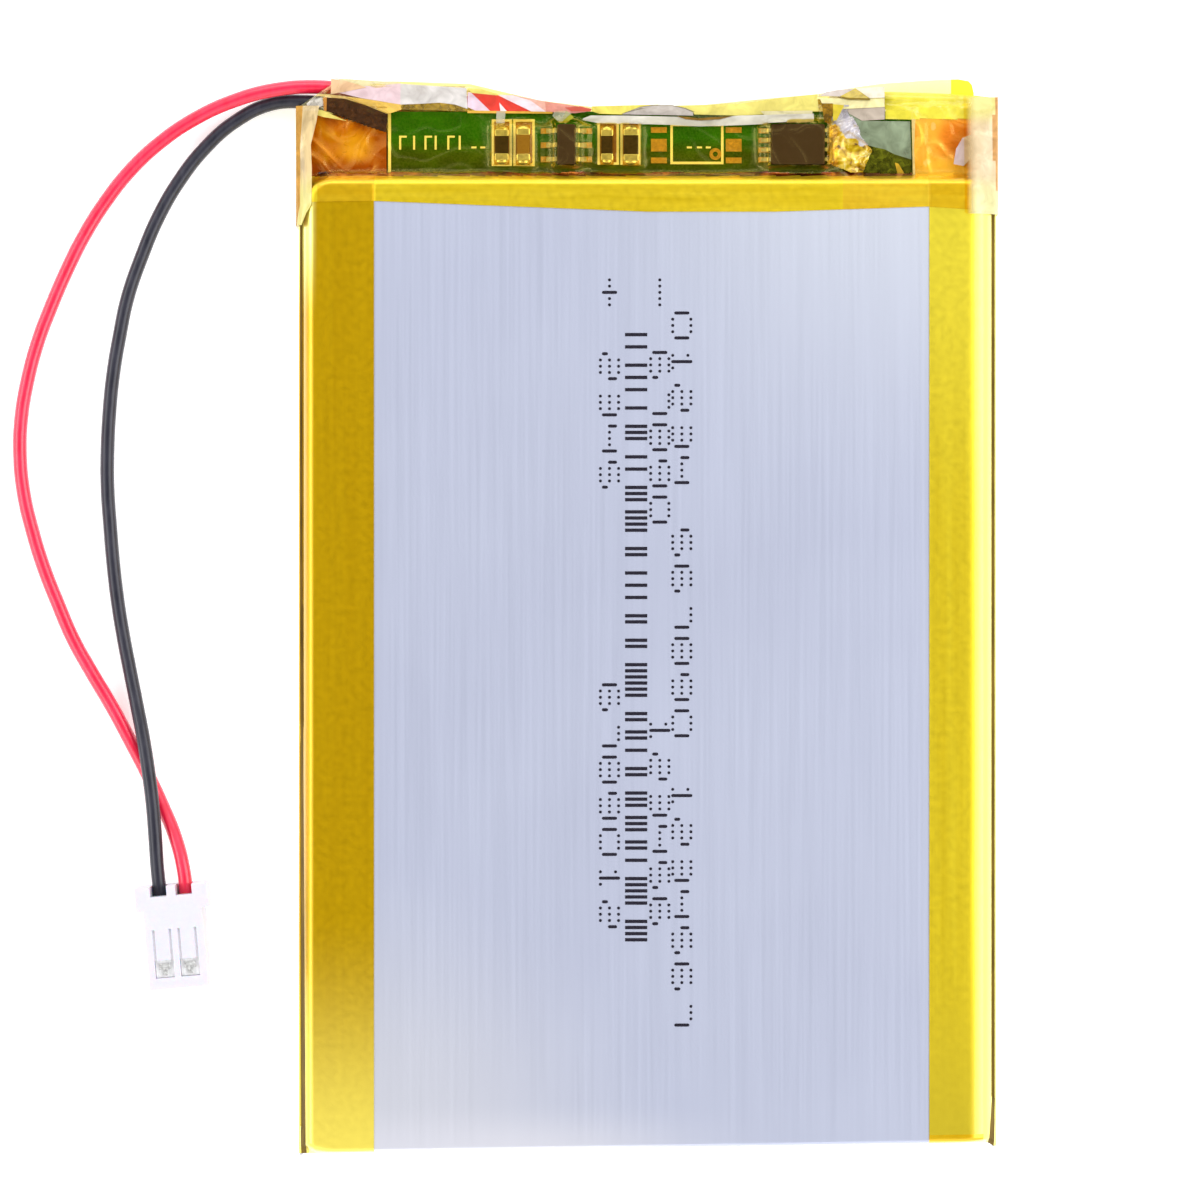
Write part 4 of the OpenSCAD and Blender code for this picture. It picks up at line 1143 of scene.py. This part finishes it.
# Folds of the end tape where it is bunched over the wires and beside the board: colour, the share that isn't
# clear, how much the colour varies, how far it stands off the tape, and outline
FOLDS = (
    ("pink_over_red", (0.62, 0.45, 0.48), 0.85, 0.07, 0, (
        (-24.5, 41.35), (-22.3, 41.85), (-19.5, 42.05), (-19.5, 40.35), (-22.7, 40.9),
    )),
    ("tan_at_entry", (0.66, 0.42, 0.22), 0.85, 0.07, 0.03, (
        (-25, 42.45), (-23.9, 42.3), (-22.2, 41.75), (-24.4, 41.3), (-25, 41.2),
    )),
    ("pale_at_entry", (0.67, 0.6, 0.33), 0.8, 0.07, -0.02, (
        (-24.8, 42.5), (-19.5, 42.15), (-19.5, 42), (-22.2, 41.75), (-23.9, 42.3),
    )),
    ("grey_over_bridge", (0.5, 0.465, 0.44), 0.9, 0.07, 0, (
        (-19.5, 42.05), (-14.3, 41.7), (-14.2, 40), (-15.2, 40.35), (-16.4, 40.5), (-18.1, 40.4),
        (-19.5, 40.35),
    )),
    ("amber_below_red", (0.65, 0.4, 0.04), 0.85, 0.15, 0, (
        (-23.8, 40.95), (-22.3, 40.8), (-19.5, 40.35), (-19.4, 39.95), (-20.4, 39.6), (-22.1, 40.25),
    )),
    ("olive_below_grey", (0.26, 0.16, 0.01), 0.85, 0.5, -0.03, (
        (-19.4, 39.95), (-19.4, 40.4), (-16.4, 40.5), (-15.2, 40.35), (-14.2, 39.95), (-14.2, 39.8),
    )),
    ("yellow_tip", (0.649, 0.557, 0.08), 0.9, 0.07, 0, (
        (-14.2, 41.7), (-13.1, 41.6), (-11.4, 41.1), (-12, 41.1), (-13.9, 41.3),
    )),
    ("pink_beside_red", (0.585, 0.43, 0.514), 0.9, 0.07, 0.02, (
        (-14.2, 41.35), (-13.9, 41.3), (-12.4, 39.8), (-13.6, 39.85), (-14.2, 40.15),
    )),
    ("red", (0.585, 0.027, 0.0137), 0.9, 0.07, 0, (
        (-13.9, 41.3), (-12, 41.2), (-11.2, 40.8), (-10, 40.25), (-9, 39.7), (-12.4, 39.8),
    )),
    ("white_stripe", (0.673, 0.546, 0.585), 0.9, 0.07, 0.04, (
        (-11.8, 41.15), (-10.6, 41.1), (-9.2, 40.65), (-8, 39.75), (-9, 39.7), (-10.3, 40.35),
        (-11.2, 40.8),
    )),
    # Painted highlight: a small white triangle on the film beside the red wire
    ("notch_painted_highlight", (0.66, 0.55, 0.55), 0.8, 0.07, 0.06, (
        (-11.7, 40.5), (-11.1, 39.8), (-11.6, 39.8),
    )),
    ("peach_stripe", (0.643, 0.321, 0.248), 0.85, 0.07, 0.02, (
        (-10.6, 41.1), (-8.1, 40.6), (-8, 39.75), (-9.2, 40.65),
    )),
    ("rose", (0.602, 0.215, 0.163), 0.85, 0.07, 0, (
        (-8.1, 40.6), (-6.4, 40.35), (-4.4, 40), (-4.5, 39.8), (-5.7, 39.65), (-8, 39.75),
    )),
    ("rose_deep", (0.53, 0.08, 0.054), 0.85, 0.07, 0.03, (
        (-6.5, 40.1), (-5.3, 40.2), (-4.4, 39.95), (-4.5, 39.8), (-6, 39.8),
    )),
    ("yellow_middle", (0.649, 0.557, 0.08), 0.9, 0.07, 0, (
        (-4.4, 40.2), (1, 40.35), (-0.6, 40.1), (-2, 39.55), (-3.8, 39.6), (-4.4, 39.8),
    )),
    ("metal", (0.385, 0.342, 0.302), 0.95, 0.2, 0.06, (
        (-2, 39.55), (-0.6, 40.1), (0.4, 40.25), (1.9, 40.25), (2.9, 40), (3.6, 39.7), (3.6, 39.45),
        (1, 39.5),
    )),
    ("metal_shade", (0.2, 0.17, 0.11), 0.95, 0.07, 0.05, (
        (-2, 39.6), (-0.6, 40.15), (0.4, 40.3), (1.9, 40.3), (3, 40.05), (3.7, 39.75), (1.9, 40.15),
        (0.4, 40.15), (-0.6, 39.95),
    )),
    ("yellow_far", (0.655, 0.57, 0.12), 0.9, 0.07, -0.02, (
        (1.9, 40.25), (7.3, 40.4), (10.5, 40.9), (13.4, 41.2), (13.5, 39.8), (7.3, 39.45), (3.7, 39.55),
        (3.6, 39.7), (2.9, 40),
    )),
    ("brown_lens", (0.185, 0.1, 0.018), 0.9, 0.3, 0.2, (
        (2.3, 39.4), (4.1, 39.25), (6.7, 39.4), (5.7, 39.15), (4.1, 39.05), (3, 39.15),
    )),
    ("cream_over_chip", (0.66, 0.6, 0.35), 0.85, 0.07, 0.05, (
        (8.9, 39.8), (13, 39.85), (13, 39.15), (11.2, 39.2), (9.3, 39.4),
    )),
    ("gold_line", (0.602, 0.342, 0.043), 0.9, 0.07, 0.08, (
        (-14.2, 39.85), (-7.5, 39.75), (-7.5, 39.6), (-14.2, 39.65),
    )),
    ("streak", (0.55, 0.55, 0.45), 0.38, 0.07, 0.1, (
        (-11.9, 39.8), (-11.2, 39.8), (-11.3, 38.35), (-12, 38.35),
    )),
    # Painted highlight: the pale colour of a film bubble over the chip
    ("bubble", (0.494, 0.514, 0.40), 0.38, 0.25, 0.45, (
        (-7.3, 39.75), (-6.4, 39.8), (-6, 39.6), (-6.9, 38.8), (-7.5, 39.4),
    )),
    ("bubble_side", (0.407, 0.407, 0.032), 0.65, 0.07, 0.43, (
        (-6.4, 39.8), (-5.8, 39.3), (-6.4, 38.85), (-6.9, 38.85),
    )),
    ("golden", (0.43, 0.313, 0.022), 0.95, 0.3, 0.25, (
        (15.2, 41), (16.4, 41.65), (16.9, 41.3), (17.5, 40.85), (16, 40.85),
    )),
    ("golden_shade", (0.2, 0.13, 0.01), 0.95, 0.07, 0.22, (
        (15, 40.95), (16, 40.9), (17.6, 40.8), (17.5, 40.7), (15.8, 40.75),
    )),
    ("lilac_top", (0.479, 0.407, 0.363), 0.9, 0.07, 0.2, (
        (13.5, 41.05), (14.1, 41.35), (15.2, 41.55), (16.4, 41.65), (15.2, 41),
    )),
    ("pale_top", (0.661, 0.613, 0.479), 0.85, 0.07, 0.2, (
        (16.4, 41.65), (18.7, 41.8), (18.7, 40.9), (17.5, 40.85), (16.9, 41.3),
    )),
    ("pale_strip", (0.673, 0.602, 0.265), 0.85, 0.07, 0.1, (
        (13.6, 40.85), (18.7, 40.85), (18.7, 40.15), (15, 39.95), (13.8, 40.35),
    )),
    ("knot", (0.215, 0.11, 0.005), 0.9, 0.6, 0.4, (
        (13.7, 40.4), (14.6, 40.4), (14.6, 39.7), (14.4, 38.65), (13.9, 39), (13.8, 39.8),
    )),
    ("knot_side", (0.568, 0.439, 0.016), 0.9, 0.07, 0.42, (
        (14.6, 40.35), (15.5, 40.25), (14.9, 39.05), (14.6, 39),
    )),
    ("lilac", (0.41, 0.34, 0.27), 0.9, 0.07, 0.03, (
        (15.6, 40.15), (18.7, 40.15), (18.7, 39.15), (16.9, 39.05), (15.9, 39.6),
    )),
    ("lens", (0.536, 0.435, 0.463), 0.9, 0.07, 0.42, (
        (24.1, 35.6), (24.3, 36.8), (24.8, 37.65), (25.5, 37.95), (25.9, 37.65), (25.8, 36.4),
        (24.9, 35.45),
    )),
    ("board_end_line", (0.62, 0.46, 0.16), 0.85, 0.07, 0.35, (
        (20.8, 39.15), (21.1, 39.15), (21, 36.8), (21.1, 34.55), (20.9, 34.55),
    )),
    ("olive_spot", (0.55, 0.33, 0.02), 0.9, 0.2, 0.04, (
        (19.5, 35.75), (19.8, 35.65), (20.3, 34.8), (19.7, 34.9),
    )),
    ("air_pocket", (0.22, 0.27, 0.17), 0.85, 0.15, 0, (
        (15.8, 39.7), (16.8, 39.05), (20.7, 39), (20.8, 36), (19.5, 36.4), (18.7, 36.8), (18, 36.95),
        (17.4, 37.1), (16.9, 37.7),
    )),
    ("olive", (0.07, 0.075, 0.004), 0.88, 0.6, 0, (
        (17.4, 37.1), (18, 36.95), (18.7, 36.8), (19.5, 36.4), (20.8, 36), (20.8, 34.65), (16.9, 34.65),
        (17.2, 35.6),
    )),
    ("over_wire", (0.042, 0.014, 0.002), 0.94, 0.5, 0.3, (
        (-25.3, 40.9), (-23.9, 40.8), (-22.2, 40.25), (-20.5, 39.55), (-20.6, 38.1), (-23.3, 39.05),
        (-25.3, 39.8),
    )),
    ("wire_edge", (0.45, 0.18, 0.02), 0.9, 0.07, 0.32, (
        (-25.6, 40.9), (-25.3, 40.9), (-25.3, 39.8), (-25.5, 39.8),
    )),
    # Painted highlight: a yellow band on the film below the black wire
    ("painted_highlight_below_wire", (0.673, 0.568, 0.132), 0.85, 0.07, 0.33, (
        (-26.5, 40.1), (-25.5, 39.8), (-24.3, 39.25), (-23.7, 39), (-25.5, 39.3), (-26.5, 39.6),
    )),
    ("glint", (0.36, 0.33, 0.28), 0.8, 0.8, 0.1, (
        (-26.9, 40.4), (-26.4, 40.9), (-25.7, 40.9), (-25.5, 40.25), (-26.2, 40), (-26.8, 40.1),
    )),
)


def add_flaps():
    """The small flat folds of tape on top of the end tape. They lean down past the board."""
    flat_z = 3.30
    slope = 0.38
    bend_y = 39.8
    furthest = 2.4
    for name, colour, solid, vary, lift, outline in FOLDS:
        points = []
        for px, py in outline:
            past_bend = min(max(py - bend_y, 0), furthest)
            points.append((px, py, flat_z + lift - slope * past_bend))
        shine = 0.1 if colour[1] < 0.2 else 0.4
        size = 0.6 if vary > 0.3 else 1.4
        material = veil_material("film_" + name, colour, solid, size, vary, coat=shine, specular=shine)
        obj = piece("fold_" + name, points, [list(range(len(points)))], [material])
        thicken(obj, 0.04)


def add_tail():
    """The loose double tail of tape past the end."""
    flat_z = 2.0
    pale_until_x = 23.9
    across = np.linspace(TAIL_EDGE[0][0], TAIL_EDGE[-1][0], 90)
    x, t = np.meshgrid(across, np.linspace(0, 1, 16))
    start = CUP_Y1 + 5.9
    y = start + (cap_edge(x, TAIL_EDGE) - 0.05 - start) * t
    z = flat_z + 0.05 * creases(x, y, 2.0, 40.0) + 0.02 * smooth_noise(x, y, 1.0, 41.0)
    pale = (x[:-1, :-1] < pale_until_x).astype(int)
    sheet_piece(
        "tape_tail_flap", x, y, z, [TAIL_FILM, TAIL_PALE], 0.1, face_slots=pale.ravel(),
        replaced=["tape_tail"],
    )


def add_joint_patch():
    """A small crumpled piece of tape over a joint on the board, pale above and golden below."""
    x, y = np.meshgrid(np.linspace(13.3, 17.9, 60), np.linspace(board_low.y + 0.05, board_high.y + 0.5, 70))
    right = np.interp(y, (34.7, 35.6, 36.6, 37.6, 38.5, 39.8), (16.9, 17.2, 17.7, 16.9, 16.6, 15.8))
    left = np.interp(y, (34.7, 35.2, 35.6, 38.7, 39.5, 39.9), (16.5, 15.4, 14.3, 14.3, 14.6, 15.0))
    keep = ((x > left) & (x < right))[:-1, :-1]
    lowest = 3.18
    z = 3.24 + 0.42 * creases(x, y, 1.5, 51.0, 0.8) + 0.15 * smooth_noise(x, y, 1.1, 52.0)
    z = np.maximum(z, lowest)
    pale = (y + 0.7 * smooth_noise(x, y, 0.8, 53.0) > 38.4 - 0.6 * (x - 14.8))[:-1, :-1].astype(int)
    sheet_piece(
        "crumpled_patch", x, y, z, [CRUMPLE, CRUMPLE_PALE], 0.05, face_slots=pale.ravel(),
        replaced=["joint_patch_tape"], keep=keep.ravel(),
    )


# ---- Board details ----

def flat_shapes(name, outlines, z0, z1, material):
    """Thin raised shapes, each from its outline, as one piece."""
    points, faces = [], []
    for outline in outlines:
        faces += ring_faces(2, len(outline), len(points))
        points += [(px, py, z0) for px, py in outline] + [(px, py, z1) for px, py in outline]
    return piece(name, points, faces, [material], smooth=False)


def bar(x0, y0, x1, y1):
    """The outline of a rectangle."""
    return [(x0, y0), (x1, y0), (x1, y1), (x0, y1)]


def frame_of_bars(x0, y0, x1, y1, w):
    """Four thin bars round a rectangle."""
    return [
        bar(x0, y0, x1, y0 + w), bar(x0, y1 - w, x1, y1),
        bar(x0, y0 + w, x0 + w, y1 - w), bar(x1 - w, y0 + w, x1, y1 - w),
    ]


def capsule(x0, x1, y, r):
    """A run of ink along X with round ends."""
    points_round_end = 6
    angles = np.linspace(-math.pi / 2, math.pi / 2, points_round_end)
    right = [(x1 + r * math.cos(a), y + r * math.sin(a)) for a in angles]
    left = [(x0 - r * math.cos(a), y - r * math.sin(a)) for a in angles]
    return right + left


def add_board_print():
    """White outlines, ticks and dashes, and a dark copper-brown fill inside the small parts' outlines, which
    is bare copper darkened as painted shade round the parts.
    """
    low, high = board_low, board_high
    mid = (low.y + high.y) / 2
    line_w = 0.2
    outlines, wells = [], []
    for x0, x1, half in (
        (-12.3, -10.7, 1.85), (-10.6, -8.9, 1.85), (-3.95, -2.25, 1.75), (-2.15, -0.55, 1.75),
    ):
        outlines += frame_of_bars(x0, mid - half, x1, mid + half, line_w)
        wells.append(bar(x0 + line_w, mid - half + line_w, x1 - line_w, mid + half - line_w))
    flat_shapes("board_wells", wells, high.z, high.z + 0.015, WELL)
    outlines += frame_of_bars(1.8, mid - 1.7, 6.0, mid + 1.5, line_w)
    outlines += [bar(low.x + 0.02, low.y + 0.1, low.x + 0.26, high.y - 0.1)]
    for k, x in enumerate((-19.6, -18.5, -17.6, -16.8, -15.8, -14.9)):
        outlines.append(bar(x, mid - 0.55, x + 0.16, mid + 0.55))
        if k % 2 == 0:
            outlines.append(bar(x + 0.16, mid + 0.4, x + 0.6, mid + 0.55))
    for x in (-13.9, -13.2, 3.1, 3.9, 4.6):
        outlines.append(bar(x, mid - 0.45, x + 0.4, mid - 0.3))
    flat_shapes("board_print", outlines, high.z, high.z + 0.02, SILK)


def add_traces():
    """Copper tracks that show through the solder mask, in a row along the board."""
    low, high = board_low, board_high
    traces = []
    for k in range(9):
        x = -19.2 + 4.4 * k
        y = low.y + 0.55 + 0.35 * (k % 3)
        traces.append(bar(x, y, x + 3.6, y + 0.18))
        traces.append(bar(x + 3.4, y + 0.18, x + 3.6, y + 1.1))
        traces.append(bar(x + 0.4, high.y - 0.7 - 0.25 * (k % 2), x + 3.0, high.y - 0.5 - 0.25 * (k % 2)))
    flat_shapes("board_traces", traces, high.z, high.z + 0.012, BOARD)


def in_plug(outline):
    """Turns an outline drawn on the plug, with its wire end at the origin, to its place on the table."""
    c = math.cos(PLUG_TURN)
    s = math.sin(PLUG_TURN)
    return [(PLUG_X + x * c - y * s, PLUG_Y + x * s + y * c) for x, y in outline]


def add_plug_details():
    """What shows in the plug's windows: the contacts' locking tongues, painted darker as shade, and pale
    floors raised near the top of the narrow slits, painted light over what would be their shade.
    """
    slits, plates, ridges = [], [], []
    slit_half = 0.12
    for middle in (-CONTACT_X, CONTACT_X):
        for edge in (-0.65, 0.65):
            slits.append(in_plug(bar(middle + edge - slit_half, -5.8, middle + edge + slit_half, -3.42)))
        plates.append(in_plug(bar(middle - 0.72, -7.17, middle + 0.72, -5.75)))
        for x0, y0, x1, y1 in (
            (-0.45, -6.2, 0.45, -6.05), (-0.45, -6.55, -0.3, -6.2), (0.3, -6.55, 0.45, -6.2),
            (-0.2, -7.0, 0.2, -6.4),
        ):
            ridges.append(in_plug(bar(middle + x0, y0, middle + x1, y1)))
    flat_shapes("plug_slit_floors", slits, 4.1, 4.2, SLIT)
    flat_shapes("contact_plates", plates, 3.95, 4.05, CONTACT)
    flat_shapes("contact_tongues", ridges, 4.05, 4.2, TIN_SHADE)


def add_solder():
    """Rounded solder beside each end of the small parts."""
    rings = 4
    sides = 12
    away = 0.55
    solder_h = 0.32
    solder_half = 0.30
    points, faces = [], []
    for node in ("resistor_r1", "capacitor_c1", "resistor_r2", "resistor_r3"):
        low, high = box_mm(node)
        x = (low.x + high.x) / 2
        half = (high.x - low.x) / 2
        for end in (-1, 1):
            y = (low.y + high.y) / 2 + end * ((high.y - low.y) / 2 + away)
            faces += ring_faces(rings, sides, len(points))
            for ring in range(rings):
                angle = math.radians(90 * ring / 3.3)
                for k in range(sides):
                    turn = 2 * math.pi * k / sides
                    points.append((
                        x + half * math.cos(turn) * math.cos(angle),
                        y + solder_half * math.sin(turn) * math.cos(angle),
                        BOARD_Z + 0.04 + solder_h * math.sin(angle),
                    ))
    piece("solder_fillets", points, faces, [TIN])


# ---- Printed face ----

SEGMENTS = {
    "0": "abcdef", "1": "bc", "2": "abged", "3": "abgcd", "4": "fgbc", "5": "afgcd", "6": "afgecd",
    "7": "abc", "8": "abcdefg", "9": "abcdfg",
}
DOT_ROW = 0.238
DOT_COLUMN = 0.49
DOT_R = 0.12
LINE_PITCH = 2.84


def digit_dots(digit):
    """Dots of a digit on a grid of 5 columns and 7 rows, as column and row."""
    runs = {
        "a": [(c, 0) for c in (1, 2, 3)], "g": [(c, 3) for c in (1, 2, 3)], "d": [(c, 6) for c in (1, 2, 3)],
        "f": [(0, r) for r in (1, 2)], "e": [(0, r) for r in (4, 5)],
        "b": [(4, r) for r in (1, 2)], "c": [(4, r) for r in (4, 5)],
    }
    dots = {dot for s in SEGMENTS[digit] for dot in runs[s]}
    if {(0, 2), (0, 4)} <= dots or {"f", "g"} <= set(SEGMENTS[digit]):
        dots.add((0, 3))
    if "b" in SEGMENTS[digit]:
        dots.add((4, 3))
    if digit == "1":
        dots = {(2, r) for r in range(7)} | {(1, 1), (1, 6), (3, 6)}
    return dots


def dot_runs(dots, top_x, start_y, shapes):
    """Ink for one character: dots in a column that touch run together along X."""
    for column in range(5):
        rows = sorted(r for c, r in dots if c == column)
        while rows:
            first = last = rows.pop(0)
            while rows and rows[0] == last + 1:
                last = rows.pop(0)
            y = start_y - column * DOT_COLUMN
            shapes.append(capsule(top_x - last * DOT_ROW - DOT_R, top_x - first * DOT_ROW - DOT_R, y, DOT_R))


def add_print():
    """Generic digits and bars in the cell's dot style, reading down the face."""
    shapes = []
    signs_y = 26.4
    for text, top_x, start_y in (
        ("01234 567890 1234567", 3.51, 23.8), ("67890", 1.78, 20.7), ("123456", 1.78, -8.0),
        ("2345", -2.17, 20.6), ("6789012", -2.17, -5.4),
    ):
        for k, digit in enumerate(text):
            if digit != " ":
                dot_runs(digit_dots(digit), top_x, start_y - k * LINE_PITCH, shapes)
    minus = {(c, 3) for c in range(5)}
    plus = minus | {(2, r) for r in range(1, 6)}
    dot_runs(minus, 1.78, signs_y, shapes)
    dot_runs(plus, -2.17, signs_y, shapes)
    draw = random.Random(11)
    step = 0.48
    half = 0.13
    last_bar_y = -26.8
    y = 22.1
    while y > last_bar_y:
        shapes.append(bar(-1.78, y - half, -0.04, y + half))
        y -= draw.choice((step, step, step, 2 * step, 3 * step))
    flat_shapes("ink_print", shapes, FACE_Z - 0.03, FACE_Z + 0.012, INK)


# ---- CAD nodes that stay ----

def soften(node, width):
    """Rounds the sharp edges of a CAD node."""
    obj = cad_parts[node]
    weld = obj.modifiers.new("weld", "WELD")
    weld.merge_threshold = 0.000002
    bevel = obj.modifiers.new("bevel", "BEVEL")
    bevel.width = width * MM
    bevel.segments = 2
    bevel.limit_method = "ANGLE"
    bevel.angle_limit = math.radians(35)
    bevel.use_clamp_overlap = True


def dress_nodes():
    """Gives the CAD nodes that stay their materials, and rounds the edges that show."""
    looks = {
        LAMINATE: ("pouch_cover", "side_seal_left", "side_seal_right"),
        CONTACT: ("plug_contact_red", "plug_contact_black"),
        CATHODE: ("cathode_sheets",),
        ANODE: ("anode_sheets",),
        SEPARATOR: ("separator",),
        GREEN_TAPE: ("stack_tape",),
        ALUMINIUM: ("positive_tab",),
        NICKEL: ("negative_tab", "positive_bridge", "negative_bridge"),
        SEAL_FILM: ("positive_tab_film", "negative_tab_film"),
        FOAM: ("board_insulator",),
        BOARD: ("circuit_board",),
        GOLD: ("board_pads",),
        CHIP: ("protection_ic", "mosfet"),
        TIN: (
            "protection_ic_leads", "mosfet_leads", "component_end_caps", "solder_joints", "red_wire_core",
            "black_wire_core",
        ),
        RESISTOR: ("resistor_r1", "resistor_r2", "resistor_r3"),
        CERAMIC: ("capacitor_c1",),
        PLUG: ("plug_housing",),
    }
    for material, nodes in looks.items():
        for node in nodes:
            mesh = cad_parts[node].data
            mesh.materials.clear()
            mesh.materials.append(material)
    for node, width in (
        ("circuit_board", 0.05), ("protection_ic", 0.07), ("mosfet", 0.09), ("component_end_caps", 0.06),
        ("plug_housing", 0.13), ("capacitor_c1", 0.05), ("resistor_r1", 0.04), ("resistor_r2", 0.04),
        ("resistor_r3", 0.04), ("plug_contact_red", 0.04), ("plug_contact_black", 0.04),
    ):
        soften(node, width)


add_camera()
add_light()
add_floor()
add_wires()
add_pouch()
add_terrace()
add_side_tape(-1, GOLD_LEFT, "side_tape_left")
add_side_tape(1, GOLD_RIGHT, "side_tape_right")
add_end_wrap()
add_edge_fold()
for end in (-1, 1):
    add_cheek(end)
    add_folds(end)
add_flaps()
add_tail()
add_joint_patch()
add_board_print()
add_traces()
add_solder()
add_plug_details()
add_print()
dress_nodes()

# The layers of clear film in front of the board need many transparent bounces
bpy.context.scene.view_settings.view_transform = "Standard"
bpy.context.scene.cycles.transparent_max_bounces = 28
